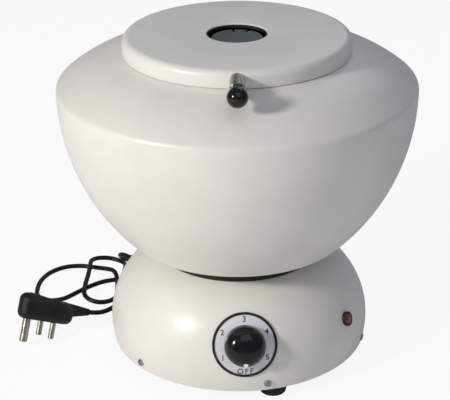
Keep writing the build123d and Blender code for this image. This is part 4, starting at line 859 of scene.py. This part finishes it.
# Plug: one moulding of body, neck and tapered tail, worked in its own frame and then set down
plug = {
    "earthCorner": (0, -0.0222, 0.00953),
    "sideCorners": ((-0.01053, 0.004, 0.01214), (0.01053, 0.004, 0.01214)),
    "thickness": 0.023,
    "backSlope": radians(11),
    "slopeStart": -0.018,
    "backRounding": 0.0062,
    "tail": [
        (0.0076, 0.006),
        (0.0072, 0.0165),
        (0.0063, 0.0215),
        (0.0056, 0.027),
        (0.0046, 0.034),
        (0.0037, 0.040),
        (0.0031, 0.0441),
    ],
}
clearSelection()
corners = []
for x, y, radius in (plug["earthCorner"], *plug["sideCorners"]):
    bpy.ops.mesh.primitive_cylinder_add(
        vertices=40, radius=radius, depth=plug["thickness"], location=(x, y, plug["thickness"] / 2)
    )
    corners.append(bpy.context.object)
clearSelection()
for corner in corners:
    corner.select_set(True)
bpy.context.view_layer.objects.active = corners[0]
bpy.ops.object.join()
plugMoulding = bpy.context.object
plugMoulding.name = "plugMoulding"
bpy.ops.object.transform_apply(location=True, rotation=True, scale=True)
bpy.ops.object.mode_set(mode="EDIT")
bpy.ops.mesh.select_all(action="SELECT")
bpy.ops.mesh.convex_hull()
bpy.ops.mesh.select_all(action="SELECT")
bpy.ops.mesh.bisect(
    plane_co=(0, plug["slopeStart"], plug["thickness"]),
    plane_no=(0, sin(plug["backSlope"]), cos(plug["backSlope"])),
    use_fill=True,
    clear_outer=True,
)
bpy.ops.mesh.select_all(action="SELECT")
bpy.ops.mesh.remove_doubles(threshold=0.00005)
bpy.ops.mesh.dissolve_limited(angle_limit=radians(1))
bpy.ops.mesh.normals_make_consistent(inside=False)
bpy.ops.object.mode_set(mode="OBJECT")
bpy.ops.object.modifier_add(type="BEVEL")
plugMoulding.modifiers["Bevel"].width = plug["backRounding"]
plugMoulding.modifiers["Bevel"].segments = 6
plugMoulding.modifiers["Bevel"].limit_method = "ANGLE"
plugMoulding.modifiers["Bevel"].angle_limit = radians(50)
plugMoulding.modifiers["Bevel"].use_clamp_overlap = True
bpy.ops.object.modifier_apply(modifier="Bevel")
tail = turnedPiece("plugTail", plug["tail"], sides=40)
placed(tail, Matrix.Translation((0, 0, plugPlace["axisRise"])) @ Matrix.Rotation(-pi / 2, 4, "X"))
clearSelection()
tail.select_set(True)
plugMoulding.select_set(True)
bpy.context.view_layer.objects.active = plugMoulding
bpy.ops.object.join()
plugStand = Matrix.Translation(plugPlace["origin"]) @ Matrix(
    (plugPlace["across"], plugDown, plugPlace["back"])
).transposed().to_4x4()
placed(plugMoulding, plugStand)
finished(plugMoulding, "plugVinyl", "stand", angle=40)
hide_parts("plug_body", "plug_relief")
stage("plug")

for words, turnClockwise in dial["marks"].items():
    dialLetter(f"dialMark{words.capitalize()}", words, turnClockwise)
stage("dial print")


# Camera: at the photograph's angle, with a small shift for its framing
camera = {
    "place": Vector((0, -1.13503, 0.65713)),
    "target": Vector((0, 0, 0.1358)),
    "roll": radians(-0.4),
    "lens": 116.05,
    "shift": (-0.0292, -0.001),
}
view = bpy.data.cameras.new("camera")
view.lens = camera["lens"]
view.shift_x, view.shift_y = camera["shift"]
view.clip_end = 20
viewObject = bpy.data.objects.new("camera", view)
bpy.context.scene.collection.objects.link(viewObject)
backwards = (camera["place"] - camera["target"]).normalized()
level = Vector((1, 0, 0))
upright = backwards.cross(level)
viewRight = level * cos(camera["roll"]) + upright * sin(camera["roll"])
viewUp = upright * cos(camera["roll"]) - level * sin(camera["roll"])
viewObject.matrix_world = Matrix.Translation(camera["place"]) @ Matrix(
    (viewRight, viewUp, backwards)
).transposed().to_4x4()
bpy.context.scene.camera = viewObject


# Pale floor and plain light: a key from the upper left, a broad fill from the front and a weak back light
studio = {
    "lamps": {
        "keyLamp": {
            "place": (-1.51, -1.18, 1.05), "aim": (0, 0, 0.14), "size": 0.26, "power": 28, "colour": "#FFFBF5"
        },
        "fillLamp": {
            "place": (0.2, -1.3, 1.9), "aim": (0, 0, 0.14), "size": 1.6, "power": 6.5, "colour": "#F4F6FF"
        },
        "backLamp": {
            "place": (0.5, 1.3, 1.4), "aim": (0, 0, 0.2), "size": 1.0, "power": 3, "colour": "#E6EEFF"
        },
    },
    "floorSize": 30,
    "floorColour": "#F6F6F6",
    "floorGlow": 0.9,  # the share of plain white that the camera sees in the floor
    "roomColour": "#E3EAF6",
    "roomStrength": 0.25,
}


def softLamp(name, place, aim, size, power, colour):
    lamp = bpy.data.lights.new(name, "AREA")
    lamp.shape = "SQUARE"
    lamp.size = size
    lamp.energy = power
    lamp.color = linearColour(colour)[:3]
    lampObject = bpy.data.objects.new(name, lamp)
    bpy.context.scene.collection.objects.link(lampObject)
    lampObject.location = place
    lampObject.rotation_euler = (Vector(aim) - Vector(place)).to_track_quat("-Z", "Y").to_euler()


for name, lampLooks in studio["lamps"].items():
    softLamp(name, **lampLooks)
stage("lamps")

clearSelection()
bpy.ops.mesh.primitive_plane_add(size=studio["floorSize"])
floorPlane = bpy.context.object
floorPlane.name = "floor"
# Matt white paper, which keeps the shadow and glows a little for the camera alone
paper, paperTree, paperShader = newMaterial(
    "whitePaper", {"Roughness": 0.9, "Base Color": studio["floorColour"], "Specular IOR Level": 0.1}
)
paperSeen = seenDirectly(paperTree)
paperShare = addNode(
    paperTree, "ShaderNodeMath", {"operation": "MULTIPLY"}, {0: paperSeen, 1: studio["floorGlow"]}
)
paperGlow = addNode(paperTree, "ShaderNodeEmission", inputs={"Color": (1, 1, 1, 1), "Strength": 1.0})
paperBlend = addNode(
    paperTree,
    "ShaderNodeMixShader",
    inputs={0: paperShare.outputs[0], 1: paperShader.outputs[0], 2: paperGlow.outputs[0]},
)
paperTree.links.new(paperBlend.outputs[0], paperTree.nodes["Material Output"].inputs["Surface"])
floorPlane.data.materials.append(paper)

world = bpy.data.worlds.new("studio")
bpy.context.scene.world = world
world.use_nodes = True
worldTree = world.node_tree
room = worldTree.nodes["Background"]
room.inputs["Color"].default_value = linearColour(studio["roomColour"])
room.inputs["Strength"].default_value = studio["roomStrength"]
white = addNode(worldTree, "ShaderNodeBackground", inputs={"Color": (1, 1, 1, 1), "Strength": 1.0})
blend = addNode(
    worldTree,
    "ShaderNodeMixShader",
    inputs={0: seenDirectly(worldTree), 1: room.outputs[0], 2: white.outputs[0]},
)
worldTree.links.new(blend.outputs[0], worldTree.nodes["World Output"].inputs["Surface"])
stage("floor and room")
bpy.context.scene.view_settings.view_transform = "Standard"

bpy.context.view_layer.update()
stage("done")
